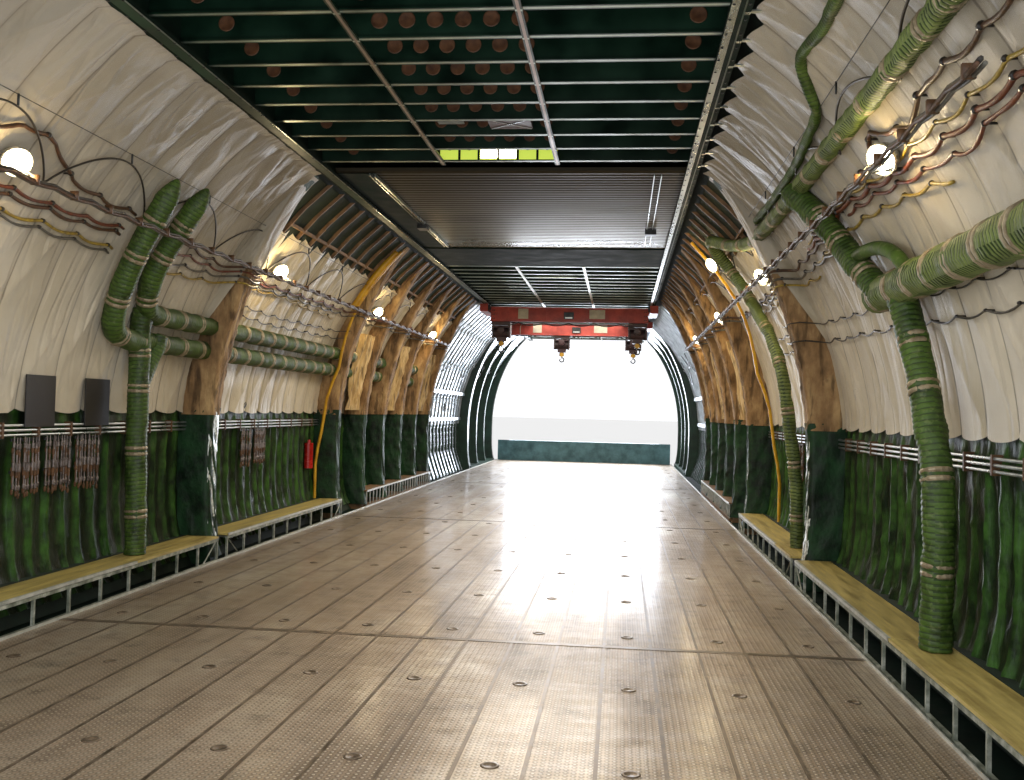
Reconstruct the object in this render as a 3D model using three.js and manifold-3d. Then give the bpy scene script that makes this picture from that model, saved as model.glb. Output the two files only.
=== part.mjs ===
// The cargo hold section of a heavy transport aircraft, at full size, in millimetres.
// Origin: the middle of the flat keel strip, under the belly. +X is the right-hand side,
// +Y runs forward to the open nose, +Z is up. The section is open at both ends.
import * as THREE from 'three';
import { mergeVertices } from 'three/addons/utils/BufferGeometryUtils.js';
import Module from 'manifold-3d';

const wasm = await Module();
wasm.setup();

// Driving dimensions
const GAP = 0.3;                       // left between pieces that touch
const AFT = -16000;                    // the section's two joint faces
const NOSE = 16000;
const BAY = 500;                       // pitch of the fuselage's ordinary frames
const DECK = 750;                      // top of the cargo deck above the keel strip
const DECK_HALF = 3150;
const DECK_THICK = 60;
const WAIST = DECK + 1250;             // level at which the fuselage is widest
const CEILING = DECK + 4440;           // underside of the ceiling beams
const WALL_TOP = DECK + 4700;          // where the side panels end and the crown begins
const BENCH_TOP = DECK + 270;
const BENCH_FRONT = 3180;

// A cross-section curve: an ellipse above the waist and a flattened one below it
const SKIN = { half: 3950, rise: 5650, drop: 2000 };
const LINING = { half: 3720, rise: 3950, drop: 1900 };
const BELLY_INSIDE = { half: 3800, drop: 1880 };
const CROWN_INSIDE = { half: 3840, rise: 5540 };
const FRAME_EDGE = { half: 3375, rise: 4230, drop: 2200 };
const FLATNESS = 4;                    // power of the curve below the waist
const GIRDER_IN = 1990;                // faces of the crane girders beside the ceiling
const GIRDER_OUT = 2090;

// Where the panels meet, and where the heavy frames stand, along Y
const FRAME_1 = -9250;
const FRAME_2 = -4250;
const MID_FRAMES = [-2600, -1100, 400, 1900, 3400];
const NOSE_FRAMES = [[10200, 300], [12000, 160], [13800, 160], [15900, 200]];   // place, width
const WALL_BAYS = [['aft', AFT, FRAME_1], ['mid', FRAME_1, 3800], ['nose', 3800, NOSE]];
const DECK_SEAMS = [AFT, -12600, -4400, 3800, NOSE];
const BELLY_SEAMS = [AFT, -2000, NOSE];
const WINDOWS = [['left', -7600], ['right', -11900], ['left', 7300], ['right', 7300]];

// Materials
const paint = (color, roughness, metalness = 0) =>
  new THREE.MeshStandardMaterial({ color, roughness, metalness });
const finish = {
  skin: paint('#d8dadb', 0.45, 0.1),
  lining: paint('#d9cfba', 0.85),
  deck: paint('#8a8078', 0.35, 0.7),
  primer: paint('#2c4a35', 0.55, 0.1),
  metal: paint('#a9adae', 0.35, 0.8),
  plank: paint('#9a8a3d', 0.6),
  crane: paint('#b2352d', 0.5),
  duct: paint('#3f7d36', 0.75),
  yellow: paint('#d9a322', 0.5),
  hook: paint('#3a3c3e', 0.4, 0.8),
  lamp: paint('#f5f0dd', 0.3),
};

// Half width of a cross-section curve at height z
function halfWidth(curve, z) {
  const up = z - WAIST;
  if (up >= 0) return curve.half * Math.sqrt(1 - (up / curve.rise) ** 2);
  return curve.half * (1 - (-up / curve.drop) ** FLATNESS) ** (1 / FLATNESS);
}

// Evenly spaced values from low to high
function levels(low, high, steps) {
  return Array.from({ length: steps + 1 }, (_, i) => low + (high - low) * i / steps);
}

// Moves an extrusion made in x and z so that it runs from y0 to y1
function alongY(points, y0, y1) {
  const shape = new THREE.Shape(points.map(([x, z]) => new THREE.Vector2(x, z)));
  const body = new THREE.ExtrudeGeometry(shape, { depth: y1 - y0, bevelEnabled: false });
  return body.rotateX(Math.PI / 2).translate(0, y1, 0);
}

// The same for an outline in y and z that runs from x0 to x1
function alongX(points, x0, x1) {
  const shape = new THREE.Shape(points.map(([y, z]) => new THREE.Vector2(y, z)));
  const body = new THREE.ExtrudeGeometry(shape, { depth: x1 - x0, bevelEnabled: false });
  return body.applyMatrix4(new THREE.Matrix4().set(0, 0, 1, x0, 1, 0, 0, 0, 0, 1, 0, 0, 0, 0, 0, 1));
}

// A box by its limits on the three axes
function block([x0, x1], [y0, y1], [z0, z1]) {
  return new THREE.BoxGeometry(x1 - x0, y1 - y0, z1 - z0)
    .translate((x0 + x1) / 2, (y0 + y1) / 2, (z0 + z1) / 2);
}

// A round bar or disc between two points
function rod(from, to, radius, sides = 10) {
  const [a, b] = [new THREE.Vector3(...from), new THREE.Vector3(...to)];
  const body = new THREE.CylinderGeometry(radius, radius, a.distanceTo(b), sides);
  const turn = new THREE.Quaternion().setFromUnitVectors(
    new THREE.Vector3(0, 1, 0), b.clone().sub(a).normalize());
  return body.applyQuaternion(turn).translate(...a.add(b).multiplyScalar(0.5).toArray());
}

// A round tube along a smooth line through the given points
function pipe(points, radius, steps, sides = 9) {
  const places = points.map((p) => new THREE.Vector3(...p));
  const line = new THREE.CatmullRomCurve3(places, false, 'centripetal');
  const ring = Array.from({ length: sides }, (_, i) => {
    const turn = 2 * Math.PI * i / sides;
    return new THREE.Vector2(radius * Math.cos(turn), radius * Math.sin(turn));
  });
  const shape = new THREE.Shape(ring);
  return new THREE.ExtrudeGeometry(shape, { steps, extrudePath: line, bevelEnabled: false });
}

// Solids, for joining and cutting
function solid(geometry) {
  const bare = new THREE.BufferGeometry();
  bare.setAttribute('position', geometry.getAttribute('position'));
  if (geometry.index) bare.setIndex(geometry.index);
  const closed = mergeVertices(bare, 1e-3);
  return new wasm.Manifold(new wasm.Mesh({
    numProp: 3,
    vertProperties: new Float32Array(closed.getAttribute('position').array),
    triVerts: new Uint32Array(closed.index.array),
  }));
}

function surface(body) {
  const { vertProperties, triVerts } = body.getMesh();
  const geometry = new THREE.BufferGeometry();
  geometry.setAttribute('position', new THREE.BufferAttribute(new Float32Array(vertProperties), 3));
  geometry.setIndex(new THREE.BufferAttribute(new Uint32Array(triVerts), 1));
  geometry.computeVertexNormals();
  return geometry;
}

const joined = (pieces) => surface(pieces.map(solid).reduce((all, piece) => all.add(piece)));
const cut = (body, tools) =>
  surface(tools.map(solid).reduce((all, tool) => all.subtract(tool), solid(body)));

const part = new THREE.Group();
function add(name, geometry, material) {
  const mesh = new THREE.Mesh(geometry, material);
  mesh.name = name;
  part.add(mesh);
}

const SIDES = [['left', -1], ['right', 1]];
const mirror = (points, side) => points.map(([x, z]) => [side * x, z]);

// Outline between an inner and an outer curve on the right-hand side
function band(inside, outside, heights) {
  return [
    ...heights.map((z) => [outside(z), z]),
    ...[...heights].reverse().map((z) => [inside(z), z]),
  ];
}

// Side panels: lining, frames and skin as one wall, with a ledge that carries the benches
const WALL_LEVELS = [
  ...levels(DECK - DECK_THICK, WAIST, 6),
  ...levels(WAIST, WALL_TOP, 12).slice(1),
];
const wallInside = (z) => Math.max(halfWidth(LINING, z), GIRDER_OUT);
const BENCH_BACK = 3545;
const BENCH_RUNS = [[AFT + 60, FRAME_1 - 130], [FRAME_1 + 130, FRAME_2 - 130]];
const WINDOW_LEVEL = DECK + 1900;
const WINDOW_RADIUS = 170;
const bar = (side, xs, ys, zs) => block(xs.map((x) => side * x).sort((a, b) => a - b), ys, zs);

function wallPanel(y0, y1, sideName, side) {
  const outline = mirror(band(wallInside, (z) => halfWidth(SKIN, z), WALL_LEVELS), side);
  const ledges = BENCH_RUNS.filter(([y]) => y > y0 && y < y1)
    .map((run) => bar(side, [BENCH_BACK + 10, BENCH_BACK + 180], run, [BENCH_TOP - 50, BENCH_TOP]));
  const wall = joined([alongY(outline, y0 + GAP, y1 - GAP), ...ledges]);
  const windowAt = (y) =>
    rod([side * 3000, y, WINDOW_LEVEL], [side * 4200, y, WINDOW_LEVEL], WINDOW_RADIUS, 20);
  const openings = WINDOWS.filter(([name, y]) => name === sideName && y > y0 && y < y1)
    .map(([, y]) => windowAt(y));
  return openings.length ? cut(wall, openings) : wall;
}

for (const [sideName, side] of SIDES) {
  for (const [bay, y0, y1] of WALL_BAYS) {
    add(`wall_${sideName}_${bay}`, wallPanel(y0, y1, sideName, side), finish.skin);
  }
}

// Belly: the skin under the deck, with a flat keel strip
const BELLY_TOP = DECK - DECK_THICK - GAP;
const KEEL_STRIP = 450;
const KEEL_INSIDE = 1000;
function bellyOutline() {
  const outer = [[halfWidth(SKIN, BELLY_TOP), BELLY_TOP],
    ...[520, 350, 200, 80, 20].map((z) => [halfWidth(SKIN, z), z]), [KEEL_STRIP, 0]];
  const inner = [[KEEL_INSIDE, 120],
    ...[145, 200, 320, 520, BELLY_TOP].map((z) => [halfWidth(BELLY_INSIDE, z), z])];
  const left = (points) => mirror([...points].reverse(), -1);
  return [...outer, ...left(outer), ...left(inner), ...inner];
}

BELLY_SEAMS.slice(1).forEach((end, i) => {
  const panel = alongY(bellyOutline(), BELLY_SEAMS[i] + GAP, end - GAP);
  add(`belly_${['aft', 'nose'][i]}`, panel, finish.skin);
});

// Crown: the fuselage's top, over the upper deck
const CROWN_STEPS = 11;
function crownOutline() {
  const base = WALL_TOP + GAP;
  const arc = (curve) => {
    const top = WAIST + curve.rise;
    const start = Math.acos((base - WAIST) / curve.rise);
    return Array.from({ length: CROWN_STEPS + 1 }, (_, i) => {
      const turn = start * (1 - i / CROWN_STEPS);
      const z = i === CROWN_STEPS ? top : WAIST + curve.rise * Math.cos(turn);
      return [curve.half * Math.sin(turn), z];
    });
  };
  const half = (curve) => [...arc(curve), ...mirror(arc(curve).slice(0, -1).reverse(), -1)];
  return [...half(SKIN), ...half(CROWN_INSIDE).reverse()];
}
add('crown', alongY(crownOutline(), AFT + GAP, NOSE - GAP), finish.skin);

// Cargo deck panels, and the grid of floor beams under them
DECK_SEAMS.slice(1).forEach((end, i) => {
  add(`deck_panel_${i + 1}`, block([-DECK_HALF, DECK_HALF], [DECK_SEAMS[i] + GAP, end - GAP],
    [DECK - DECK_THICK, DECK]), finish.deck);
});

const BEAM_TOP = DECK - DECK_THICK - GAP;
const BEAM_SIDE = [[KEEL_INSIDE, 120 + GAP], [2100, 185], [3150, 450], [3400, 640], [3400, BEAM_TOP]];
const floorBeam = (y) =>
  alongY([...mirror(BEAM_SIDE, -1).reverse(), ...BEAM_SIDE], y - 60, y + 60);
const gutter = (side) =>
  block([side * 3290 - 190, side * 3290 + 190], [AFT + GAP, NOSE - GAP], [642, BEAM_TOP]);
add('floor_frame', joined([
  ...Array.from({ length: 17 }, (_, i) => floorBeam(AFT + 100 + i * (NOSE - AFT - 200) / 16)),
  gutter(-1), gutter(1),
]), finish.primer);

// Crane girders along both edges of the ceiling, with the flange that carries the cranes
const RAIL_UNDER = DECK + 4380;
const RAIL_IN = 1950;
const girder = [[RAIL_IN, RAIL_UNDER], [GIRDER_OUT - GAP, RAIL_UNDER], [GIRDER_OUT - GAP, WALL_TOP - GAP],
  [GIRDER_IN, WALL_TOP - GAP], [GIRDER_IN, RAIL_UNDER + 30], [RAIL_IN, RAIL_UNDER + 30]];
for (const [sideName, side] of SIDES) {
  add(`crane_rail_${sideName}`, alongY(mirror(girder, side), AFT + GAP, NOSE - GAP), finish.primer);
}
add('upper_floor', block([-2085, 2085], [AFT + GAP, NOSE - GAP], [WALL_TOP, WALL_TOP + 40]),
  finish.primer);

// Ceiling: beams on the frame pitch with two long strips under them, and two closed panels
const CORRUGATED = [-9250, -4160];
const BOX_PANEL = [-4160, -2330];
const STRIPS = [-660, 580];
const FLANGE = 32;
function ceilingBeam(y) {
  const web = 7;
  const half = [[FLANGE, CEILING], [FLANGE, CEILING + 12], [web, CEILING + 12], [web, WALL_TOP - GAP]];
  const outline = [...half, ...mirror(half, -1).reverse()].map(([along, z]) => [y + along, z]);
  return alongX(outline, -GIRDER_IN + GAP, GIRDER_IN - GAP);
}
function ceilingGrid(first, last) {
  const count = Math.round((last - first) / BAY);
  const beams = Array.from({ length: count + 1 }, (_, i) => ceilingBeam(first + i * BAY));
  const strips = STRIPS.map((x) =>
    block([x - 25, x + 25], [first - 100, last + 100], [CEILING - 14, CEILING + 4]));
  return joined([...beams, ...strips]);
}
add('ceiling_grid_aft', ceilingGrid(AFT + 250, CORRUGATED[0] - BAY), finish.primer);
add('ceiling_grid_nose', ceilingGrid(BOX_PANEL[1] + 250, NOSE - 170), finish.primer);

function corrugatedPanel([y0, y1], pitch = 127.25) {
  const count = Math.round((y1 - y0) / pitch);
  const ridge = [[2, 20], [0.3 * pitch, 0], [0.7 * pitch, 0], [pitch - 2, 20]];
  const wave = Array.from({ length: count }, (_, i) =>
    ridge.map(([along, up]) => [y0 + i * pitch + along, CEILING + up])).flat();
  const outline = [...wave, [y1 - 2, CEILING + 60], [y0 + 2, CEILING + 60]];
  return alongX(outline, -GIRDER_IN + GAP, GIRDER_IN - GAP);
}
add('ceiling_corrugated', corrugatedPanel(CORRUGATED), finish.metal);
add('ceiling_box_panel', block([-GIRDER_IN + GAP, GIRDER_IN - GAP], [BOX_PANEL[0] + 1, BOX_PANEL[1] - 1],
  [CEILING - 20, CEILING + 180]), finish.primer);

// Heavy frames: a deep web from the gutter beside the deck up to the crane girder
const FRAME_TOP = DECK + 4420;
const FRAME_LEVELS = WALL_LEVELS.filter((z) => z < FRAME_TOP);
const FRAME_WIDTH = 220;
const frameOutside = (z) => halfWidth(LINING, z) - 1;
const frameInside = (z) => Math.min(halfWidth(FRAME_EDGE, z), frameOutside(z) - 12);
function heavyFrame(side, y, width) {
  const outline = mirror(band(frameInside, frameOutside, FRAME_LEVELS), side);
  return alongY(outline, y - width / 2, y + width / 2);
}

// Ordinary frames where they show bare: thin ribs, in full aft of the nose's first heavy frame, and
// above the lining only before that
const RIB = [26, 60];                  // width and depth
const RIB_FOOT = DECK + 3800;          // lowest part that shows above the lining
const NOSE_RIBS = [4000, 10000];
const UPPER_RIBS = { aft: [-8750, -4750], mid: [-3750, 3000] };
const RIB_STRINGER = DECK + 3950;
const NOSE_RAILS = [DECK + 1500, DECK + 2250];
function rib(side, y, heights) {
  const outline = band((z) => frameOutside(z) - RIB[1], frameOutside, heights);
  return alongY(mirror(outline, side), y - RIB[0] / 2, y + RIB[0] / 2);
}
function ribs(side, [first, last], frames, heights) {
  const places = Array.from({ length: (last - first) / BAY + 1 }, (_, i) => first + i * BAY);
  const clear = (y) => frames.every(([at, width]) => Math.abs(y - at) > width / 2 + RIB[0]);
  return places.filter(clear).map((y) => rib(side, y, heights));
}
function ribStringer(side, y0, y1) {
  const wall = halfWidth(LINING, RIB_STRINGER);
  return bar(side, [wall - 55, wall - 30], [y0, y1], [RIB_STRINGER - 20, RIB_STRINGER + 20]);
}
const noseRails = (side) => NOSE_RAILS.map((z) => {
  const wall = halfWidth(LINING, z);
  return bar(side, [wall - 110, wall - 40], [3850, 10100], [z - 45, z + 45]);
});

// Air ducts, each a list of centre points in metres: sideways, along and above the deck
const DUCT = 100;
const DUCT_BIG = 130;
const DUCT_SLIM = 70;
const at = (side, points) => points.map(([x, y, z]) => [side * x * 1000, y * 1000, DECK + z * 1000]);
const BENCH_REST = 0.276;
const LEFT_DUCTS = [
  [DUCT, 34, [[2.66, -11.8, 3.76], [3.0, -11.75, 3.2], [3.25, -11.65, 2.75], [3.38, -11.5, 2.45],
    [3.41, -11.2, 2.37], [3.43, -10.8, 2.37], [3.43, -10.3, 2.37], [3.43, 2.9, 2.37]]],
  [DUCT, 34, [[2.62, -11.25, 3.8], [2.95, -11.2, 3.35], [3.2, -11.15, 2.95], [3.31, -11, 2.69],
    [3.34, -10.75, 2.64], [3.35, -10.3, 2.64], [3.35, 2.9, 2.64]]],
  [DUCT, 9, [[3.36, -10.98, 2.68], [3.41, -10.93, 2.45], [3.42, -10.9, 2.2], [3.42, -10.9, 1.2],
    [3.4, -10.9, 0.6], [3.4, -10.9, BENCH_REST]]],
];
const RIGHT_DUCTS = [
  [DUCT_SLIM, 32, [[2.78, -15.95, 3.74], [2.78, -10.3, 3.74], [2.757, -9.5, 3.735], [2.757, -9.0, 3.735],
    [2.62, -7.9, 3.86], [2.44, -7.1, 4.03], [2.64, -6.9, 3.8], [2.82, -7.0, 3.54], [2.98, -7.55, 3.1],
    [3.12, -8.05, 2.65], [3.2, -8.35, 2.16], [3.27, -8.4, 1.64], [3.34, -8.4, 1.1], [3.36, -8.4, 0.6],
    [3.36, -8.4, BENCH_REST]]],
  [DUCT, 9, [[2.73, -11.5, 3.72], [2.93, -11.8, 3.42], [3.08, -12.1, 3.1], [3.24, -12.5, 2.73]]],
  [DUCT_BIG, 2, [[3.27, -15.95, 2.73], [3.27, -14, 2.73], [3.27, -12.3, 2.73]]],
  [DUCT, 10, [[3.27, -12.9, 2.73], [3.35, -13.15, 2.1], [3.4, -13.4, 1.3], [3.4, -13.4, 0.6],
    [3.4, -13.4, BENCH_REST]]],
];
const ductwork = (side, runs) =>
  runs.map(([radius, steps, points]) => pipe(at(side, points), radius, steps));

// Thin pipes in threes along the wall, on brackets, with the racks and units that they carry
const CONDUIT_X = 3.62;
const CONDUIT_RUN = [AFT / 1000 + 0.1, -4.4];
const CONDUIT_LEVELS = [1.46, 1.56];
const RACKS = { left: [-12.45, -11.98, -11.5, -10.55, -7.6, -7.1], right: [-7.3, -6.8] };
const UNITS = { left: [-12.25, -11.33], right: [] };
function conduits(sideName, side) {
  const [y0, y1] = CONDUIT_RUN;
  const brackets = Array.from({ length: 12 }, (_, i) => y0 + 0.1 + i).filter((y) => y < y1);
  const box = (xs, ys, zs) =>
    bar(side, xs.map((x) => x * 1000), ys.map((y) => y * 1000), zs.map((z) => DECK + z * 1000));
  return [
    box([CONDUIT_X - 0.013, CONDUIT_X + 0.013], [y0, y1], CONDUIT_LEVELS),
    ...brackets.map((y) => box([CONDUIT_X - 0.02, 3.7], [y - 0.015, y + 0.015], [1.45, 1.55])),
    ...RACKS[sideName].map((y) => box([3.57, 3.61], [y - 0.2, y + 0.2], [0.95, 1.48])),
    ...UNITS[sideName].map((y) => box([3.57, 3.645], [y - 0.22, y + 0.22], [1.53, 1.98])),
  ];
}

const YELLOW_PIPE = { left: -4.52, right: -5.6 };
const YELLOW_LINE = [[2.28, 4.3], [2.63, 3.9], [3.0, 3.35], [3.19, 2.8], [3.26, 2.4], [3.42, 2.0],
  [3.51, 1.4], [3.6, 0.9], [3.6, 0.6], [3.6, BENCH_REST]];
const yellowPipe = (side, y) => pipe(at(side, YELLOW_LINE.map(([x, z]) => [x, y, z])), 24, 16, 6);

// Work lamps on arms from a cable loom that runs inboard of the heavy frames, and looms on the wall
const LAMP_PLACES = [-13.75, -8.35, -3.4, 1.6];
const LOOM = [2.78, 3.3];
const HIGH_LAMP = { left: [], right: [[2.56, -6.0, 3.92]] };
const WALL_LOOMS = [3.14, 3.47];
const LOOM_RUNS = {
  left: [[-15.9, -11.95], [-11.0, -9.4], [-9.1, -4.7]],
  right: [[-15.9, -12.5], [-11.4, -9.4], [-9.1, -5.8]],
};
const arm = (side, from, to, radius = 10) => rod(...at(side, [from, to]), radius, 4);
const lampHead = (side, [x, y, z]) => [
  rod(...at(side, [[x - 0.09, y, z - 0.03], [x + 0.06, y, z + 0.03]]), 105, 12),
  rod(...at(side, [[x, y, z - 0.02], [x + 0.07, y, z - 0.02]]), 18, 6),
];

function lampLoom(sideName, side) {
  const [x, z] = LOOM;
  return [
    rod(...at(side, [[x, AFT / 1000 + 0.1, z], [x, 3.3, z]]), 26, 8),
    ...LAMP_PLACES.flatMap((y) => [
      rod(...at(side, [[x - 0.01, y, z + 0.02], [x + 0.31, y, z + 0.07]]), 18, 6),
      ...lampHead(side, [x + 0.15, y, z + 0.13]),
    ]),
    ...HIGH_LAMP[sideName].flatMap(([across, y, up]) => [
      ...lampHead(side, [across, y, up]),
      arm(side, [across + 0.05, y, up - 0.02], [3.02, y, WALL_LOOMS[1]]),
    ]),
  ];
}

function wallLooms(sideName, side) {
  const [radius, off] = [22, 50];
  return WALL_LOOMS.flatMap((up) => LOOM_RUNS[sideName].flatMap(([y0, y1]) => {
    const [z, wall] = [DECK + up * 1000, halfWidth(LINING, DECK + up * 1000)];
    const x = (wall - off) / 1000;
    const held = (y) => [
      bar(side, [wall - off, wall - 12], [y * 1000 - 12, y * 1000 + 12], [z - 8, z + 8]),
      arm(side, [LOOM[0], y, LOOM[1]], [x, y, up]),
    ];
    return [rod(...at(side, [[x, y0, up], [x, y1, up]]), radius, 6), ...held(y0 + 0.3), ...held(y1 - 0.3)];
  }));
}

// Holes that let the ducts and the thin pipes through the heavy frames
const passage = (side, x, [y0, y1], z, radius) => rod(...at(side, [[x, y0, z], [x, y1, z]]), radius, 12);
const ductHoles = (side, ys) =>
  [passage(side, 3.43, ys, 2.37, DUCT + 14), passage(side, 3.35, ys, 2.64, DUCT + 14)];
const FRAME_1_HOLES = {
  left: (side) => ductHoles(side, [-9.6, -8.9]),
  right: (side) => [passage(side, 2.757, [-9.6, -8.9], 3.735, DUCT_SLIM + 12)],
};
const FORWARD_HOLES = { left: (side) => ductHoles(side, [-4.5, 3.0]), right: () => [] };
const conduitSlot = (side) => bar(side, [3590, 3650], [-9600, -8900], [DECK + 1440, DECK + 1580]);
const MID_RIB_FRAMES = [FRAME_2, ...MID_FRAMES].map((y) => [y, FRAME_WIDTH]);
const UPPER_RIB_LEVELS = FRAME_LEVELS.filter((z) => z > RIB_FOOT);
const NOSE_RIB_LEVELS = FRAME_LEVELS.filter((z, i) => i % 3 === 0 || z === FRAME_LEVELS.at(-1));

for (const [sideName, side] of SIDES) {
  add(`frame_1_${sideName}`, cut(heavyFrame(side, FRAME_1, FRAME_WIDTH),
    [...FRAME_1_HOLES[sideName](side), conduitSlot(side)]), finish.lining);
  const holes = FORWARD_HOLES[sideName](side);
  add(`frame_2_${sideName}`, cut(heavyFrame(side, FRAME_2, FRAME_WIDTH), holes), finish.lining);
  const [first, last] = [MID_FRAMES[0], MID_FRAMES.at(-1)];
  const frames = MID_FRAMES.map((y) => heavyFrame(side, y, FRAME_WIDTH));
  add(`mid_frames_${sideName}`, joined([
    ...(holes.length ? frames.map((frame) => cut(frame, holes)) : frames),
    ...ribs(side, UPPER_RIBS.mid, MID_RIB_FRAMES, UPPER_RIB_LEVELS),
    ribStringer(side, UPPER_RIBS.mid[0] - 30, last),
    bar(side, [BENCH_FRONT + 40, 3520], [first, last], [BENCH_TOP - 20, BENCH_TOP]),
    bar(side, [BENCH_FRONT + 40, BENCH_FRONT + 140], [first, last], [DECK - 40, DECK + 10]),
  ]), finish.lining);
  add(`upper_ribs_${sideName}`, joined([
    ...ribs(side, UPPER_RIBS.aft, MID_RIB_FRAMES, UPPER_RIB_LEVELS),
    ribStringer(side, UPPER_RIBS.aft[0] - 30, UPPER_RIBS.aft[1] + 30),
  ]), finish.lining);
  add(`nose_frames_${sideName}`, joined([
    ...NOSE_FRAMES.map(([y, width]) => heavyFrame(side, y, width)),
    ...ribs(side, NOSE_RIBS, NOSE_FRAMES, NOSE_RIB_LEVELS),
    ...noseRails(side),
    bar(side, [3260, 3480], [NOSE_FRAMES[0][0], NOSE_FRAMES.at(-1)[0]], [DECK - 55, DECK + 40]),
  ]), finish.primer);
  const runs = sideName === 'left' ? LEFT_DUCTS : RIGHT_DUCTS;
  add(`ducts_${sideName}`, joined(ductwork(side, runs)), finish.duct);
  add(`pipes_${sideName}`, joined(conduits(sideName, side)), finish.metal);
  add(`yellow_pipe_${sideName}`, yellowPipe(side, YELLOW_PIPE[sideName]), finish.yellow);
  const looms = [...lampLoom(sideName, side), ...wallLooms(sideName, side)];
  add(`lamps_${sideName}`, joined(looms), finish.lamp);
}
add('extinguisher', joined([
  rod([-3630, -4800, DECK + 780], [-3630, -4800, DECK + 1180], 70, 14),
  rod([-3630, -4800, DECK + 1170], [-3630, -4800, DECK + 1230], 25, 8),
  block([-3700, -3600], [-4820, -4780], [DECK + 900, DECK + 930]),
]), finish.crane);
add('nose_sill', block([-3100, 3100], [15600, 15790], [DECK + GAP, DECK + 720]), finish.primer);

// Benches: a fixed frame of rails and uprights, and hinged seat lids over it
const UPRIGHT = 26;
const SEAT_THICK = 22;
const FRAME_RAIL_TOP = BENCH_TOP - SEAT_THICK - 6;
const FIXED_SEATS = {
  left: [[-11260, FRAME_1 - 130]],
  right: [[AFT + 60, -13100], [FRAME_1 + 130, -8060]],
};
const SEAT_LIDS = {
  left: [['1', AFT + 60, -11280], ['2', FRAME_1 + 150, FRAME_2 - 150]],
  right: [['1', -13080, FRAME_1 - 150], ['2', -8040, FRAME_2 - 150]],
};
const seat = (side, y0, y1) =>
  bar(side, [BENCH_FRONT, BENCH_BACK], [y0, y1], [BENCH_TOP - SEAT_THICK, BENCH_TOP]);

function benchFrame(sideName, side) {
  const rail = (ys, zs, inset = 0) =>
    bar(side, [BENCH_FRONT + inset, BENCH_FRONT + UPRIGHT - inset], ys, zs);
  const middle = side * (BENCH_FRONT + UPRIGHT / 2);
  const brace = (top, foot) => rod([middle, top, FRAME_RAIL_TOP - 20], [middle, foot, DECK + 5], 9, 4);
  const uprights = BENCH_RUNS.flatMap(([y0, y1]) => {
    const count = Math.round((y1 - y0) / BAY);
    return Array.from({ length: count + 1 }, (_, i) => y0 + 15 + (y1 - y0 - 30) * i / count)
      .map((y) => rail([y - 12, y + 12], [DECK, FRAME_RAIL_TOP - 15], 2));
  });
  return [
    ...BENCH_RUNS.map((run) => rail(run, [FRAME_RAIL_TOP - 30, FRAME_RAIL_TOP])),
    ...BENCH_RUNS.map((run) => rail(run, [DECK - DECK_THICK, DECK + 12])),
    ...uprights,
    ...BENCH_RUNS.flatMap(([y0, y1]) => [brace(y0 + 30, y0 + 370), brace(y1 - 30, y1 - 370)]),
    rail([AFT + 70, FRAME_2 - 140], [DECK - DECK_THICK + 5, DECK - 30], 5),
    ...FIXED_SEATS[sideName].flatMap(([y0, y1]) => [
      seat(side, y0, y1),
      rail([y0 + 5, y1 - 5], [FRAME_RAIL_TOP - 10, BENCH_TOP - 10], 4),
    ]),
  ];
}

for (const [sideName, side] of SIDES) {
  add(`bench_frame_${sideName}`, joined(benchFrame(sideName, side)), finish.metal);
  for (const [number, y0, y1] of SEAT_LIDS[sideName]) {
    add(`seat_lid_${sideName}_${number}`, seat(side, y0, y1), finish.plank);
  }
}

// Two overhead cranes that run under the girders, each with two hoists and their hooks
const RUNNING_CLEARANCE = 6;
const CRANES = [['1', 4250, [-1680, 1680]], ['2', 8450, [-420, 1630]]];
const BRIDGE_UNDER = DECK + 3980;
const HOIST_UNDER = DECK + 3500;

const bridge = (y) => joined([
  block([-1930, 1930], [y - 250, y + 250], [BRIDGE_UNDER, DECK + 4340]),
  ...SIDES.flatMap(([, side]) => [
    bar(side, [1900, 2000], [y - 200, y + 200], [DECK + 4200, DECK + 4340]),
    bar(side, [1960, 2150], [y - 600, y + 600], [DECK + 4190, RAIL_UNDER - RUNNING_CLEARANCE]),
  ]),
]);
const hoist = (x, y) => joined([
  block([x - 230, x + 230], [y - 190, y + 190], [BRIDGE_UNDER - 90, BRIDGE_UNDER - RUNNING_CLEARANCE]),
  block([x - 230, x - 190], [y - 150, y + 150], [HOIST_UNDER + 80, BRIDGE_UNDER - 80]),
  block([x + 190, x + 230], [y - 150, y + 150], [HOIST_UNDER + 80, BRIDGE_UNDER - 80]),
  rod([x - 200, y, HOIST_UNDER + 220], [x + 200, y, HOIST_UNDER + 220], 130, 16),
  block([x - 120, x + 120], [y - 60, y + 60], [HOIST_UNDER, HOIST_UNDER + 130]),
]);
const HOOK_TOP = HOIST_UNDER - RUNNING_CLEARANCE;
const HOOK_LINE = [[0, -80], [0, -130], [44, -158], [62, -205], [36, -255], [-18, -262], [-56, -232],
  [-62, -192]];
const hook = (x, y) => joined([
  block([x - 70, x + 70], [y - 50, y + 50], [HOOK_TOP - 100, HOOK_TOP]),
  pipe(HOOK_LINE.map(([across, down]) => [x + across, y, HOOK_TOP + down]), 18, 12, 6),
]);
for (const [number, y, places] of CRANES) {
  add(`crane_bridge_${number}`, bridge(y), finish.crane);
  places.forEach((x, i) => {
    add(`hoist_${number}_${['left', 'right'][i]}`, hoist(x, y), finish.crane);
    add(`hook_${number}_${['left', 'right'][i]}`, hook(x, y), finish.hook);
  });
}

export default part;
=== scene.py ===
"""The finish of a transport plane's cargo hold section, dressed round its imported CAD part.

Metres, Z up. The deck's top is at DECK, +X is the right-hand side and +Y runs forward to the open
nose. Wall pieces are worked out for the right-hand side and mirrored for the left.
"""
import math

import bpy
import numpy as np
from mathutils import Matrix, Vector


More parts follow.
